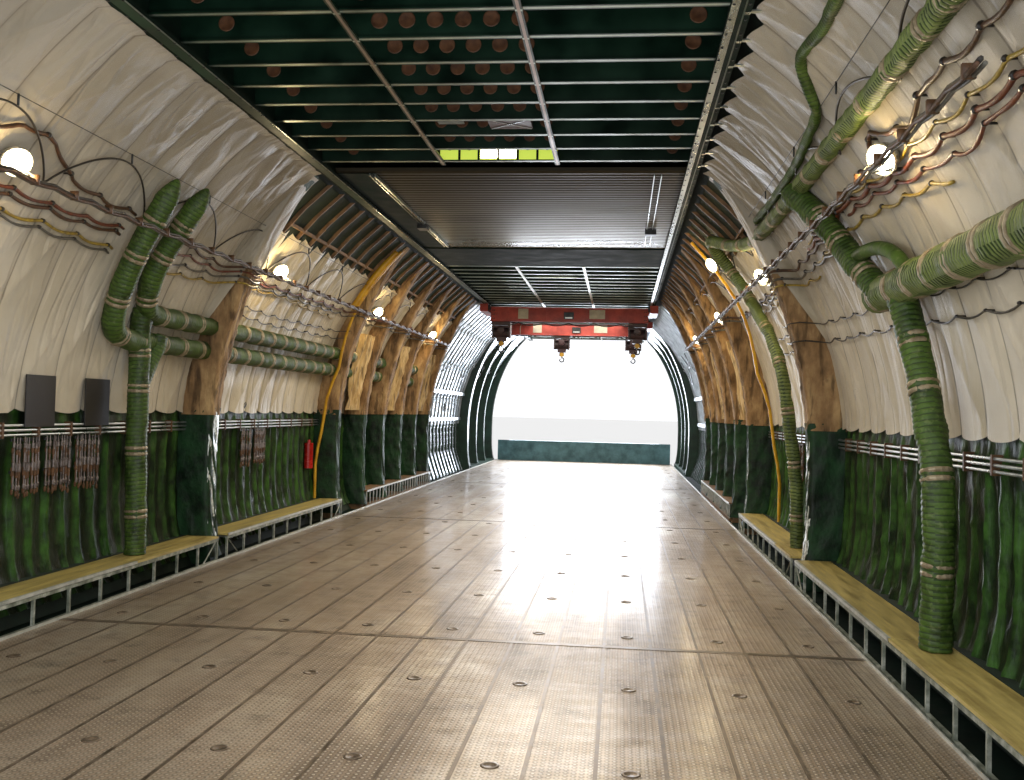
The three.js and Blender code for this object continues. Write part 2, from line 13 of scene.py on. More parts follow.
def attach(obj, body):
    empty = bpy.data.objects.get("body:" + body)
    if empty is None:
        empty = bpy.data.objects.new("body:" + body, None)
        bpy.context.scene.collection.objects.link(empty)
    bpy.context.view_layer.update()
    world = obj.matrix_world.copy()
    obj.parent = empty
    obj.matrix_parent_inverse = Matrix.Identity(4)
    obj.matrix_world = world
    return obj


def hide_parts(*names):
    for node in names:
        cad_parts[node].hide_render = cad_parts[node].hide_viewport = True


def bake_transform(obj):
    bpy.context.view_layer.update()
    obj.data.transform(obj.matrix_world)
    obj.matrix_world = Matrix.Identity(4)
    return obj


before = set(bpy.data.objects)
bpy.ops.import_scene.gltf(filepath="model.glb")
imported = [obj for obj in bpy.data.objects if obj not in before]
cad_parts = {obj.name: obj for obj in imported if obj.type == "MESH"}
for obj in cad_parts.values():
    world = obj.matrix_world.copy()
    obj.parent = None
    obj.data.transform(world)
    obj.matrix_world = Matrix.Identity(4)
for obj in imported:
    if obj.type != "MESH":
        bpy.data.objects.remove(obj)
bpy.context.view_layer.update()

DECK = 0.75
WAIST = 2.0
AFT, NOSE = -16.0, 16.0
NOSE_BAY = 3.8
BAY = 0.5
CEILING = DECK + 4.44
WALL_TOP = DECK + 4.7
RAIL_UNDER = 5.13
BENCH_TOP = DECK + 0.27
FRAME_1, FRAME_2 = -9.25, -4.25
MID_FRAMES = [-2.6, -1.1, 0.4, 1.9, 3.4]
FRAME_WIDTH = 0.22
# Cross-section curves: half width at the waist, rise above it, drop below it
SKIN = (3.95, 5.65, 2.0)
LINING = (3.72, 3.95, 1.9)
FRAME_EDGE = (3.375, 4.23, 2.2)
SIDES = [("left", -1), ("right", 1)]


# Shapes: each is (points, faces), its faces quads that point outwards

def half_width(curve, z):
    """Half width of a cross-section at height z: an ellipse above the waist, and below it a curve
    whose shares of width and of drop, both to the fourth power, add up to one."""
    half, rise, drop = curve
    up = np.asarray(z, float) - WAIST
    above = np.sqrt(np.clip(1 - (up / rise) ** 2, 0, 1))
    below = (1 - np.clip(-up / drop, 0, 1) ** 4) ** 0.25
    return half * np.where(up >= 0, above, below)


def joined(shapes):
    """Shapes in a row as one: each one's faces count on from the points before it."""
    starts = np.cumsum([0] + [len(points) for points, _ in shapes[:-1]])
    faces = [f + start for (_, f), start in zip(shapes, starts)]
    return np.vstack([points for points, _ in shapes]), np.vstack(faces)


def on_side(shape, side):
    """The right-hand shape, or its mirror image with the faces turned back outwards."""
    points, faces = shape
    return (points, faces) if side > 0 else (points * [-1, 1, 1], faces[:, ::-1])


def grid_faces(rows, columns, around=False):
    """Quads between neighbours on a grid of points, and across its last column where it goes round."""
    i, j = np.meshgrid(np.arange(rows - 1), np.arange(columns - (not around)), indexing="ij")
    here, after = i * columns + j, i * columns + (j + 1) % columns
    return np.stack([here, after, after + columns, here + columns], axis=-1).reshape(-1, 4)


def sheet_shape(points, flip=False):
    """A surface through a grid of points, rows by columns."""
    faces = grid_faces(*points.shape[:2])
    return points.reshape(-1, 3), faces[:, ::-1] if flip else faces


def ring(radius, sides):
    """A circle as an outline."""
    turn = np.arange(sides) * 2 * np.pi / sides
    return radius * np.stack([np.cos(turn), np.sin(turn)], axis=1)


def swept(path, outline, across=(0, 0, 1)):
    """An outline carried along a path and closed at both ends. At each place its first axis is
    `across` made square to the path, and its second is the path's direction crossed with that.
    The outline is the same all along, or has one row of points for each place."""
    path = np.asarray(path, float)
    along = np.gradient(path, axis=0)
    along /= np.linalg.norm(along, axis=1, keepdims=True)
    across = np.asarray(across, float)
    first = across - (along @ across)[:, None] * along
    first /= np.linalg.norm(first, axis=1, keepdims=True)
    second = np.cross(along, first)
    outline = np.broadcast_to(outline, (len(path),) + np.shape(outline)[-2:])
    points = path[:, None] + outline[..., :1] * first[:, None] + outline[..., 1:] * second[:, None]
    rows, sides = points.shape[:2]
    half = np.arange(sides // 2 - 1)
    cap = np.stack([half, half + 1, sides - 2 - half, sides - 1 - half], axis=1)
    faces = [grid_faces(rows, sides, around=True), cap[:, ::-1], cap + (rows - 1) * sides]
    return points.reshape(-1, 3), np.vstack(faces)


def turned(profile, sides, axis=(0, 0, 1), place=(0, 0, 0)):
    """A lathe form: a profile of (radius, height) turned about an axis through a place. It is swept in
    even steps, as the profile may go back and forth, and each ring is then put at its own height."""
    profile = np.asarray(profile, float)
    axis = np.asarray(axis, float)
    across = (1, 0, 0) if abs(axis[0]) < 0.7 else (0, 1, 0)
    steps = np.arange(len(profile))[:, None] * axis
    points, faces = swept(steps, ring(1, sides) * profile[:, :1, None], across)
    return points + np.repeat(place + profile[:, 1:] * axis - steps, sides, axis=0), faces


CORNERS = np.array([[x, y, z] for z in (0, 1) for y in (0, 1) for x in (0, 1)])
BOX_FACES = np.array([[0, 2, 3, 1], [4, 5, 7, 6], [0, 1, 5, 4], [2, 6, 7, 3], [0, 4, 6, 2],
                      [1, 3, 7, 5]])


def boxes(limits, level=0.0):
    """Boxes from rows of (x0, x1, y0, y1, z0, z1), with z0 and z1 above a level."""
    limits = np.asarray(limits, float) + [0, 0, 0, 0, level, level]
    low, high = limits.reshape(-1, 3, 2).transpose(2, 0, 1)
    points = low[:, None] + CORNERS * (high - low)[:, None]
    faces = BOX_FACES + 8 * np.arange(len(low))[:, None, None]
    return points.reshape(-1, 3), faces.reshape(-1, 4)


def repeated(shape, places):
    """Copies of a shape at places."""
    points, faces = shape
    places = np.asarray(places, float)
    faces = faces + len(points) * np.arange(len(places))[:, None, None]
    return (points + places[:, None]).reshape(-1, 3), faces.reshape(-1, 4)


def length_along(line):
    """How far along a line of points each one is."""
    return np.concatenate([[0], np.cumsum(np.linalg.norm(np.diff(line, axis=0), axis=1))])


def spaced(line, step):
    """The same line in even steps of about `step`."""
    run = length_along(line)
    at = np.linspace(0, run[-1], max(2, round(run[-1] / step) + 1))
    return np.stack([np.interp(at, run, line[:, k]) for k in range(3)], axis=1)


def smooth_line(corners, step):
    """A centripetal Catmull-Rom line through the corners, in even steps: between two corners it is
    a cubic whose end slopes come from the neighbours, each spaced by the root of its distance."""
    p = np.asarray(corners, float)
    p = np.vstack([2 * p[0] - p[1], p, 2 * p[-1] - p[-2]])
    gap = np.sqrt(np.linalg.norm(np.diff(p, axis=0), axis=1))[:, None]
    a, b, c, d = p[:-3], p[1:-2], p[2:-1], p[3:]
    g0, g1, g2 = gap[:-2], gap[1:-1], gap[2:]
    slope_b = g1 * ((b - a) / g0 - (c - a) / (g0 + g1) + (c - b) / g1)
    slope_c = g1 * ((c - b) / g1 - (d - b) / (g1 + g2) + (d - c) / g2)
    t = np.linspace(0, 1, 41)[:-1, None, None]
    cubic = ((2 * t ** 3 - 3 * t ** 2 + 1) * b + (t ** 3 - 2 * t ** 2 + t) * slope_b
             + (3 * t ** 2 - 2 * t ** 3) * c + (t ** 3 - t ** 2) * slope_c)
    line = np.vstack([cubic.transpose(1, 0, 2).reshape(-1, 3), p[-2:-1]])
    return spaced(line, step)


def drift(u, v, seed):
    """Smooth noise from -1 to 1: random heights on a unit lattice, eased between neighbours."""
    table = np.random.default_rng(seed).uniform(-1, 1, (128, 128))
    iu, iv = np.floor(u).astype(int), np.floor(v).astype(int)
    fu, fv = u - iu, v - iv
    fu, fv = fu * fu * (3 - 2 * fu), fv * fv * (3 - 2 * fv)
    near = table[iu % 128, iv % 128] * (1 - fu) + table[(iu + 1) % 128, iv % 128] * fu
    far = table[iu % 128, (iv + 1) % 128] * (1 - fu) + table[(iu + 1) % 128, (iv + 1) % 128] * fu
    return near * (1 - fv) + far * fv


def creases(u, v, seed):
    """Folds from 0 to 1 with sharp ridges: one where the smooth noise crosses zero."""
    return (1 - np.abs(drift(u, v, seed))) ** 3


def eased(x, low, high):
    """0 below low, 1 above high and a smooth rise between."""
    t = np.clip((x - low) / (high - low), 0, 1)
    return t * t * (3 - 2 * t)


def add_piece(name, parts, side=1, body="hold", smooth=False):
    """A new piece from (shape, finish) pairs, mirrored for the left side. It rides on a body, if any."""
    points, faces = on_side(joined([shape for shape, _ in parts]), side)
    mesh = bpy.data.meshes.new(name)
    mesh.vertices.add(len(points))
    mesh.vertices.foreach_set("co", np.asarray(points, np.float32).ravel())
    mesh.loops.add(faces.size)
    mesh.loops.foreach_set("vertex_index", faces.astype(np.int32).ravel())
    mesh.polygons.add(len(faces))
    mesh.polygons.foreach_set("loop_start", np.arange(0, faces.size, 4, dtype=np.int32))
    finishes = list({finish.name: finish for _, finish in parts}.values())
    for finish in finishes:
        mesh.materials.append(finish)
    counts = [len(shape[1]) for shape, _ in parts]
    index = np.repeat([finishes.index(finish) for _, finish in parts], counts)
    mesh.polygons.foreach_set("material_index", index.astype(np.int32))
    mesh.polygons.foreach_set("use_smooth", np.full(len(faces), smooth))
    mesh.update(calc_edges=True)
    piece = bpy.data.objects.new(name, mesh)
    bpy.context.scene.collection.objects.link(piece)
    if body:
        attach(piece, body)
    return piece


# Finishes

def tint(code):
    """A colour given as #rrggbb, in the linear values that a shader takes."""
    parts = [int(code[i:i + 2], 16) / 255 for i in (1, 3, 5)]
    return tuple(c / 12.92 if c <= 0.04045 else ((c + 0.055) / 1.055) ** 2.4 for c in parts) + (1.0,)


class Field:
    """What a shader node gives out: a number, place or colour that varies over a finish. Arithmetic
    on it adds Math nodes. A comparison gives 1 where it holds and 0 elsewhere."""

    def __init__(self, tree, socket):
        self.tree, self.socket = tree, socket

    def math(self, operation, *others):
        return node(self.tree, "Math", (self, *others), operation=operation)

    def __add__(self, other):
        return self.math("ADD", other)

    def __sub__(self, other):
        return self.math("SUBTRACT", other)

    def __rsub__(self, other):
        return node(self.tree, "Math", (other, self), operation="SUBTRACT")

    def __mul__(self, other):
        return self.math("MULTIPLY", other)

    def __gt__(self, other):
        return self.math("GREATER_THAN", other)

    def __lt__(self, other):
        return self.math("LESS_THAN", other)

    def __abs__(self):
        return self.math("ABSOLUTE")

    def axes(self):
        """The three numbers of a place or a direction."""
        split = node(self.tree, "SeparateXYZ", [self]).socket.node
        return [Field(self.tree, socket) for socket in split.outputs]

    def nearest(self, start, pitch):
        """How far it is from the nearest of the values from start on that stand `pitch` apart."""
        return (self - start).math("PINGPONG", pitch / 2)


def feed(tree, made, values):
    """Sets a node's inputs, or links them where a value is a Field."""
    for key, value in values.items():
        if isinstance(value, Field):
            tree.links.new(value.socket, made.inputs[key])
        elif value is not None:
            made.inputs[key].default_value = value


def node(tree, kind, values=(), output=0, **settings):
    """One output of a new shader node, whose values are given in order or by name."""
    made = tree.nodes.new("ShaderNode" + kind)
    for key, value in settings.items():
        setattr(made, key, value)
    feed(tree, made, values if isinstance(values, dict) else dict(enumerate(values)))
    return Field(tree, made.outputs[output])


def place(finish, stretch=(1, 1, 1), turn=(0, 0, 0)):
    """Object coordinates in metres, turned and then stretched."""
    where = node(finish.node_tree, "TexCoord", output="Object")
    return node(finish.node_tree, "Mapping", {"Vector": where, "Scale": stretch, "Rotation": turn})


def noise(finish, scale, detail=3.0, rough=0.5, stretch=(1, 1, 1), turn=(0, 0, 0)):
    """Noise from 0 to 1, `scale` patches a metre."""
    values = {"Vector": place(finish, stretch, turn), "Scale": scale, "Detail": detail, "Roughness": rough}
    return node(finish.node_tree, "TexNoise", values, "Fac")


def between(factor, low, high, start=0.0, end=1.0):
    """A number that runs from start to end as the factor runs from low to high."""
    return node(factor.tree, "MapRange", [factor, low, high, start, end])


def spread(factor, start=0.0, end=1.0):
    """The same for noise, most of which lies between 0.3 and 0.7."""
    return between(factor, 0.3, 0.7, start, end)


def shades(factor, *codes):
    """A colour that runs evenly through two or three as the factor goes from 0 to 1."""
    made = node(factor.tree, "ValToRGB", [factor])
    stops = made.socket.node.color_ramp.elements
    if len(codes) == 3:
        stops.new(0.5)
    for stop, code in zip(stops, codes):
        stop.color = tint(code)
    return made


def mixed(factor, first, second):
    """Two colours by a factor."""
    first, second = (tint(value) if isinstance(value, str) else value for value in (first, second))
    return node(factor.tree, "Mix", {0: factor, 6: first, 7: second}, output=2, data_type="RGBA")


def raised(*heights):
    """A bump from (height from 0 to 1, metres that 1 stands for) pairs, one on the other."""
    normal = None
    for height, metres in heights:
        values = {"Height": height, "Distance": metres, "Strength": 1.0, "Normal": normal}
        normal = node(height.tree, "Bump", values)
    return normal


def wire(finish, **sockets):
    """Feeds the finish's shader; a space in a socket's name is written as an underscore."""
    values = {key.replace("_", " "): value for key, value in sockets.items()}
    feed(finish.node_tree, finish.node_tree.nodes["Principled BSDF"], values)
    return finish


def blank(name, **sockets):
    """A new finish with the numbers that are the same all over."""
    finish = bpy.data.materials.new(name)
    finish.use_nodes = True
    return wire(finish, **sockets)


def worn(name, dark, light, rough, patches=3.0, stretch=(1, 1, 1), grain=90.0, relief=0.0004, **sockets):
    """A mottled finish: noise of so many patches a metre runs from dark to light and sets the
    roughness between two numbers, and a fine grain stands `relief` metres proud."""
    finish = blank(name, **sockets)
    factor = spread(noise(finish, patches, 5.0, 0.6, stretch))
    fine = noise(finish, grain, 2.0, 0.5, stretch)
    return wire(finish, Base_Color=shades(factor, dark, light), Roughness=between(factor, 0, 1, *rough),
                Normal=raised((fine, relief)))


def lining_cloth():
    """Cream coated cloth: fine weave, brown water stains that run down it, faint fold lines darkened
    by painted shade, and in the aft bay a grey-brown painted shade that thickens towards the ceiling."""
    finish = blank("lining_cloth", Sheen_Weight=0.25, Specular_IOR_Level=0.55)
    _, y, z = place(finish).axes()
    large = noise(finish, 1.1, 4.0, 0.55)
    stains = noise(finish, 1.6, 5.0, 0.65, (1.0, 2.6, 0.8))
    folds = abs(noise(finish, 3.0, 0.0, 0.5, (0.8, 2.0, 0.25), (0.55, 0.0, 0.0)) - 0.5)
    base = shades(spread(large), "#b3a688", "#dcd2bc")
    base = mixed(between(stains, 0.55, 0.85, 0.0, 0.5), base, "#a08660")
    # Painted shade: the aft bay's upper lining darkens towards the ceiling.
    base = mixed(between(z, 3.2, 4.7, 0.0, 0.62) * (y < -9.0), base, "#6f675a")
    base = mixed(between(y.nearest(AFT, BAY), 0.003, 0.012, 0.7, 0.0), base, "#5d5140")
    # Painted shade: the cloth is darker along its fold lines.
    base = mixed(between(folds, 0.0, 0.03, 0.12, 0.0), base, "#8a7a5e")
    creased = noise(finish, 7.0, 5.0, 0.6, (1.0, 1.4, 0.8), (0.6, 0.0, 0.0))
    weave = node(finish.node_tree, "TexWave", {"Vector": place(finish), "Scale": 260.0, "Distortion": 1.5},
                 "Fac", wave_type="BANDS", bands_direction="Y")
    return wire(finish, Base_Color=base, Roughness=spread(large, 0.34, 0.55),
                Normal=raised((creased, 0.007), (between(folds, 0.0, 0.10), 0.010), (weave, 0.0003)))


def green_cloth(name, dark, light, glossy, shade_between_ribs=False):
    """Dark green coated cloth, creased all over, paler on its worn patches; with shade between ribs it
    darkens between the ribs that stand each quarter metre, as painted shade."""
    finish = blank(name, Specular_IOR_Level=0.35)
    large = noise(finish, 3.5, 6.0, 0.7)
    base = shades(between(large, 0.38, 0.66), dark, light)
    if shade_between_ribs:
        wander = spread(noise(finish, 6.0, 3.0, 0.5, (1.0, 1.0, 0.5)), -0.03, 0.03)
        beside = place(finish).axes()[1].nearest(AFT, BAY / 2) + wander
        # Painted shade: the cloth darkens between the ribs.
        base = mixed(between(beside, 0.03, 0.085, 0.0, 0.85), base, "#040d04")
    creased = noise(finish, 11.0, 6.0, 0.6, (1.0, 1.8, 0.7))
    return wire(finish, Base_Color=base, Roughness=spread(large, glossy, glossy + 0.2),
                Normal=raised((creased, 0.014)))


def sleeve_cloth(name, *tones):
    """Tan cloth drawn tight lengthways: darker in its folds by painted shade, with a coarse weave."""
    finish = blank(name, Sheen_Weight=0.15, Specular_IOR_Level=0.25)
    large = noise(finish, 3.0, 5.0, 0.6, (1.4, 3.0, 0.7))
    folds = noise(finish, 13.0, 3.0, 0.5, (1.0, 1.0, 0.16), (0.25, 0.0, 0.0))
    creased = noise(finish, 10.0, 5.0, 0.6, (2.0, 3.0, 0.5))
    base = shades(between(large, 0.28, 0.74), *tones)
    # Painted shade: the cloth is darker in its folds.
    base = mixed(between(folds, 0.48, 0.36, 0.0, 0.65), base, "#2c1f12")
    return wire(finish, Base_Color=base, Roughness=spread(large, 0.65, 0.85),
                Normal=raised((creased, 0.018), (noise(finish, 300.0, 1.0), 0.0004)))


def deck_metal():
    """Brown-grey coated deck: rows of raised studs 40 mm apart, dents between its floor beams,
    scuffed pale lanes and darker stains."""
    finish = blank("deck_metal", Metallic=0.7, Specular_IOR_Level=0.6, Coat_Weight=0.4, Coat_Roughness=0.18)
    lanes = noise(finish, 1.4, 5.0, 0.6, (1.0, 0.25, 1.0))
    dents = noise(finish, 2.6, 2.0, 0.4, (1.0, 1.6, 1.0))
    ripples = noise(finish, 7.0, 3.0, 0.5, (1.0, 1.8, 1.0))
    apart = node(finish.node_tree, "TexVoronoi", {"Vector": place(finish), "Scale": 25.0, "Randomness": 0.0},
                 "Distance", feature="F1", voronoi_dimensions="2D")
    stud = between(apart, 0.12, 0.28, 1.0, 0.0)
    base = shades(between(lanes, 0.3, 0.72), "#7d6b57", "#ad9a83", "#d4c6b1")
    base = mixed(between(noise(finish, 5.0, 6.0, 0.65), 0.52, 0.75, 0.0, 0.6), base, "#46392b")
    base = mixed(between(apart, 0.3, 0.5, 0.45, 0.0), base, "#2e251b")
    return wire(finish, Base_Color=mixed(stud * 0.8, base, "#cdbfa9"), Roughness=spread(lanes, 0.6, 0.42),
                Normal=raised((dents, 0.02), (ripples, 0.004), (stud, 0.003)))


def hull_paint():
    """The fuselage panels. Outside: pale grey paint, greyer round the floor's level, with panel seams
    each 2 m along and rows of flush rivets on the 0.5 m frames. Inside: green primer aft of the nose
    bay and bare bright metal in it. A face is an outside one where its normal points away from the
    section's middle."""
    finish = blank("hull_paint", Specular_IOR_Level=0.5)
    x, y, z = place(finish).axes()
    normal_x, _, normal_z = node(finish.node_tree, "TexCoord", output="Normal").axes()
    outside = x * normal_x + (z - WAIST) * normal_z > 0.3
    ahead = y > NOSE_BAY + 0.01
    grime = noise(finish, 1.2, 6.0, 0.6, (0.8, 0.3, 1.2))
    seam = y.nearest(AFT, 2.0).math("MINIMUM", z.nearest(-0.3, 1.1)) < 0.006
    rivet = (y.nearest(AFT - BAY / 2, BAY) < 0.007) * (z.nearest(0, 0.06) < 0.009)
    paint = shades(between(grime, 0.25, 0.75), "#c3c6c7", "#d6d8d7")
    paint = mixed(between(abs(z - 0.55), 0.5, 0.9, 0.4, 0.0), paint, "#7d8286")
    paint = mixed(seam.math("MAXIMUM", rivet) * 0.55, paint, "#6a6e70")
    primer = shades(spread(noise(finish, 4.0, 4.0)), "#0f1c12", "#1c3021")
    bare = shades(spread(noise(finish, 3.0, 5.0)), "#9ba3a8", "#d3d9dc")
    inside = 1.0 - outside
    return wire(finish, Base_Color=mixed(outside, mixed(ahead, primer, bare), paint),
                Metallic=ahead * inside * 0.7,
                Roughness=spread(grime, 0.28, 0.45) + (1.0 - ahead) * inside * 0.4,
                Normal=raised((noise(finish, 1.3, 2.0), 0.006), (seam, -0.002), (rivet, -0.001)))


def beam_primer():
    """Ceiling beams: dark green primer with a worn pale line along the lower flanges, and a browner
    line under the two long strips."""
    finish = blank("beam_primer", Specular_IOR_Level=0.3)
    x, y, z = place(finish).axes()
    large = noise(finish, 3.0, 5.0)
    line = (z < CEILING - 0.002) * (abs(x + 0.66).math("MINIMUM", abs(x - 0.58)) < 0.011)
    middle = y.nearest(AFT + BAY / 2, BAY) < 0.015
    flange = (z < CEILING + 0.0125) * middle.math("MAXIMUM", y > -9.3)
    flange = flange.math("MAXIMUM", line)
    green = shades(spread(large), "#05120c", "#0f2b1d")
    pale = mixed(line, shades(spread(large), "#7f8d80", "#b3beb0"), "#96857a")
    return wire(finish, Base_Color=mixed(flange, green, pale), Metallic=flange * 0.7,
                Roughness=spread(large, 0.28, 0.5), Normal=raised((large, 0.004)))


def corrugated_metal():
    """Corrugated ceiling sheet: bare metal under a painted shade, brown and dull, that thins out towards the
    nose.
    """
    finish = blank("corrugated_sheet", Specular_IOR_Level=0.4)
    # Painted shade: brown, dull and less metallic aft, fading out from y -8.8 to -4.4.
    painted_aft_shade = between(place(finish).axes()[1], -8.8, -4.4, 0.95, 0.0)
    large = noise(finish, 2.0, 5.0, 0.6, (0.4, 1, 1))
    return wire(finish, Base_Color=mixed(painted_aft_shade, shades(spread(large), "#55564e", "#85867c"), "#2f2818"),
                Metallic=0.95 - painted_aft_shade * 0.6, Roughness=spread(large, 0.2, 0.3) + painted_aft_shade * 0.35,
                Normal=raised((large, 0.001)))


def nose_frame_paint():
    """The nose's frames: bare bright metal aft of y 10, with green primer below the hem's level, and
    green primer all over from there on."""
    finish = blank("nose_frame_paint", Specular_IOR_Level=0.5)
    _, y, z = place(finish).axes()
    large = noise(finish, 4.0, 4.0)
    bright = (y < 10.02) * (z > 2.1)
    green = shades(spread(large), "#12281b", "#234634")
    return wire(finish, Base_Color=mixed(bright, green, shades(spread(large), "#8f979b", "#c9d0d3")),
                Metallic=bright * 0.7, Roughness=spread(large, 0.3, 0.5), Normal=raised((large, 0.004)))


def bench_finish():
    """The benches' frames in worn green-grey paint, and the seats fixed on them in olive plank."""
    finish = blank("bench_finish", Specular_IOR_Level=0.4)
    seat = place(finish).axes()[2] > BENCH_TOP - 0.0225
    large = noise(finish, 9.0, 4.0, 0.6)
    tube = shades(spread(large), "#454c3f", "#7c8173", "#b5b7ab")
    plank = shades(spread(noise(finish, 3.0, 5.0, 0.6, (6.0, 0.5, 6.0))), "#87743c", "#c9b56c")
    return wire(finish, Base_Color=mixed(seat, tube, plank), Roughness=spread(large, 0.4, 0.6),
                Normal=raised((large, 0.002)))


def duct_wrap(name, dark, light):
    """Ribbed duct wrap: green with paler rubbed ribs, greyer dust on patches."""
    finish = blank(name, Specular_IOR_Level=0.45)
    large = noise(finish, 5.0, 5.0, 0.65)
    rub = noise(finish, 24.0, 4.0, 0.6)
    base = shades(between(large, 0.3, 0.72), dark, light)
    return wire(finish, Base_Color=mixed(between(rub, 0.55, 0.8, 0.0, 0.45), base, "#8a9461"),
                Roughness=spread(large, 0.45, 0.7), Normal=raised((rub, 0.006)))


def glowing(name, colour, strength):
    """A lamp's glass, lit."""
    return blank(name, Base_Color=tint(colour), Roughness=0.3, Emission_Color=tint(colour),
                 Emission_Strength=strength)


CREAM = lining_cloth()
GREEN_CLOTH = green_cloth("lower_cloth", "#0a1f0a", "#38611f", 0.38, shade_between_ribs=True)
GREEN_SLEEVE = green_cloth("sleeve_foot_cloth", "#07190d", "#1d4524", 0.45)
TAN = sleeve_cloth("sleeve_cloth", "#58432a", "#987852", "#cbac7b")
DRAPE = sleeve_cloth("drape_cloth", "#8c6f45", "#c2a36d", "#e6d0a2")
DECK_METAL = deck_metal()
DECK_STRIP = worn("deck_strip", "#4d4032", "#8b7b68", (0.3, 0.5), Metallic=0.7, patches=9.0)
HULL = hull_paint()
BEAM = beam_primer()
NOSE_FRAME = nose_frame_paint()
BENCH = bench_finish()
DUCT_GREEN = duct_wrap("duct_wrap_green", "#1b2d0c", "#4d6a20")
# Painted shade: the darker wrap laid on the valleys between a duct's swells.
DUCT_VALLEY_SHADE = duct_wrap("duct_wrap_valley_shade", "#142209", "#33491a")
DUCT_PALE = duct_wrap("duct_wrap_pale", "#39481f", "#7c8c4a")
PRIMER = worn("green_primer", "#0d2216", "#1d3f2a", (0.4, 0.6), patches=4.0)
DARK_PRIMER = worn("dark_primer", "#06120c", "#0f241b", (0.65, 0.85), patches=4.0, Specular_IOR_Level=0.12)
BARE = worn("bare_metal", "#8d9498", "#c6cbcd", (0.22, 0.42), Metallic=0.85, patches=5.0)
# A pale, glossy strip for the frames' faces: partly a shiny edge film, partly a painted highlight.
EDGE_FILM_HIGHLIGHT = worn("edge_film_painted_highlight", "#a8b3ab", "#eef2ee", (0.15, 0.4), Metallic=0.35, patches=14.0, relief=0.002,
               grain=60.0)
PALE_TUBE = worn("pale_tube", "#8f938a", "#cbccc3", (0.35, 0.55), Metallic=0.3, patches=8.0)
RAIL_METAL = worn("rail_metal", "#7e8784", "#b9c1be", (0.2, 0.4), Metallic=0.8, patches=2.5,
                  stretch=(1, 0.3, 1))
CORRUGATED = corrugated_metal()
PLANK = worn("olive_plank", "#87763e", "#c6b266", (0.4, 0.6), stretch=(6.0, 0.5, 6.0), relief=0.001)
CRANE_RED = worn("crane_red", "#8d2b25", "#c6544a", (0.35, 0.55), patches=3.0)
HOIST_DARK = worn("hoist_dark", "#2b1c22", "#4d333a", (0.35, 0.55), patches=6.0)
RACK_STEEL = worn("tensioner_steel", "#4a403b", "#8f8580", (0.3, 0.5), Metallic=0.6, patches=20.0)
STEEL = worn("dark_steel", "#26282a", "#4b4e50", (0.3, 0.5), Metallic=0.8, patches=9.0)
BLANK_PLATE = worn("blank_plate", "#b9b2a0", "#d9d4c4", (0.4, 0.6), patches=5.0)
CLAMP = worn("clamp_band", "#6f6048", "#a99c80", (0.35, 0.55), Metallic=0.25, patches=16.0, relief=0.001)
COPPER = worn("insulation_disc", "#38200f", "#5f3d22", (0.5, 0.7), patches=18.0)
BROWN = worn("brown_loom", "#2b1a0f", "#5c3d25", (0.35, 0.6), patches=26.0, relief=0.002)
RUSSET = worn("russet_loom", "#4a2012", "#7c4027", (0.35, 0.6), patches=26.0, relief=0.002)
YELLOW_LOOM = worn("yellow_loom", "#6b5516", "#b3993a", (0.35, 0.55), patches=26.0, relief=0.002)
GREY_LOOM = worn("grey_loom", "#37352f", "#6b675c", (0.3, 0.5), patches=26.0, relief=0.002)
BLACK = worn("black_cable", "#15120f", "#2e2822", (0.25, 0.4), patches=12.0)
RIB_BROWN = worn("brown_rib", "#5a4027", "#91704b", (0.5, 0.7), patches=7.0, relief=0.001)
YELLOW = worn("yellow_pipe", "#b07d12", "#e6b52a", (0.3, 0.5), patches=5.0)
RED = worn("extinguisher_red", "#8f130f", "#c9241c", (0.2, 0.35), patches=6.0)
BRACKET = worn("brown_bracket", "#3c2614", "#6b4a2c", (0.4, 0.6), patches=20.0)
TEAL = worn("nose_door_sill", "#35595f", "#6a949a", (0.35, 0.55), patches=3.0)
BOARD = worn("dark_board", "#100e10", "#242022", (0.4, 0.55), patches=5.0)
LAMP_SHELL = worn("lamp_shell", "#8c8c86", "#cfcfc8", (0.2, 0.35), Metallic=0.7, patches=12.0)
LAMP_GLASS = glowing("lamp_glass", "#fff1cf", 60.0)
HATCH_GLASS = glowing("hatch_light", "#b4c64e", 1.0)
TUBE_LIGHT = glowing("ceiling_tube_light", "#fff3d8", 12.0)
PANE = blank("window_pane", Base_Color=tint("#bcd4d8"), Roughness=0.08, Transmission_Weight=0.85, IOR=1.45)
SEAL = worn("window_seal", "#1a1b1c", "#303234", (0.5, 0.7), patches=10.0)


# The walls' cloth

CLOTH_STEP = 0.026


def wall_grid(low, high, y0, y1, rows):
    """Even steps up the lining's curve and along it: how far up the wall and how far along each point
    is, and a function that puts the points at a distance off the curve."""
    z = np.linspace(low, high, 600)
    line = np.stack([half_width(LINING, z), z], axis=1)
    run = length_along(line)
    at = np.linspace(0, run[-1], rows)
    x, z = (np.interp(at, run, line[:, k]) for k in (0, 1))
    slope = np.stack([np.gradient(x), np.gradient(z)], axis=1)
    slope /= np.linalg.norm(slope, axis=1, keepdims=True)
    up, along = np.meshgrid(at, np.linspace(y0, y1, round((y1 - y0) / CLOTH_STEP)), indexing="ij")

    def stand(off, lift=0.0):
        sideways, height = x[:, None] - off * slope[:, 1:], z[:, None] + off * slope[:, :1] + lift
        return np.stack([sideways, along, height], axis=2)

    return up, along, stand


# A cloth is (shape, width, length), with the width and length that it was cut to

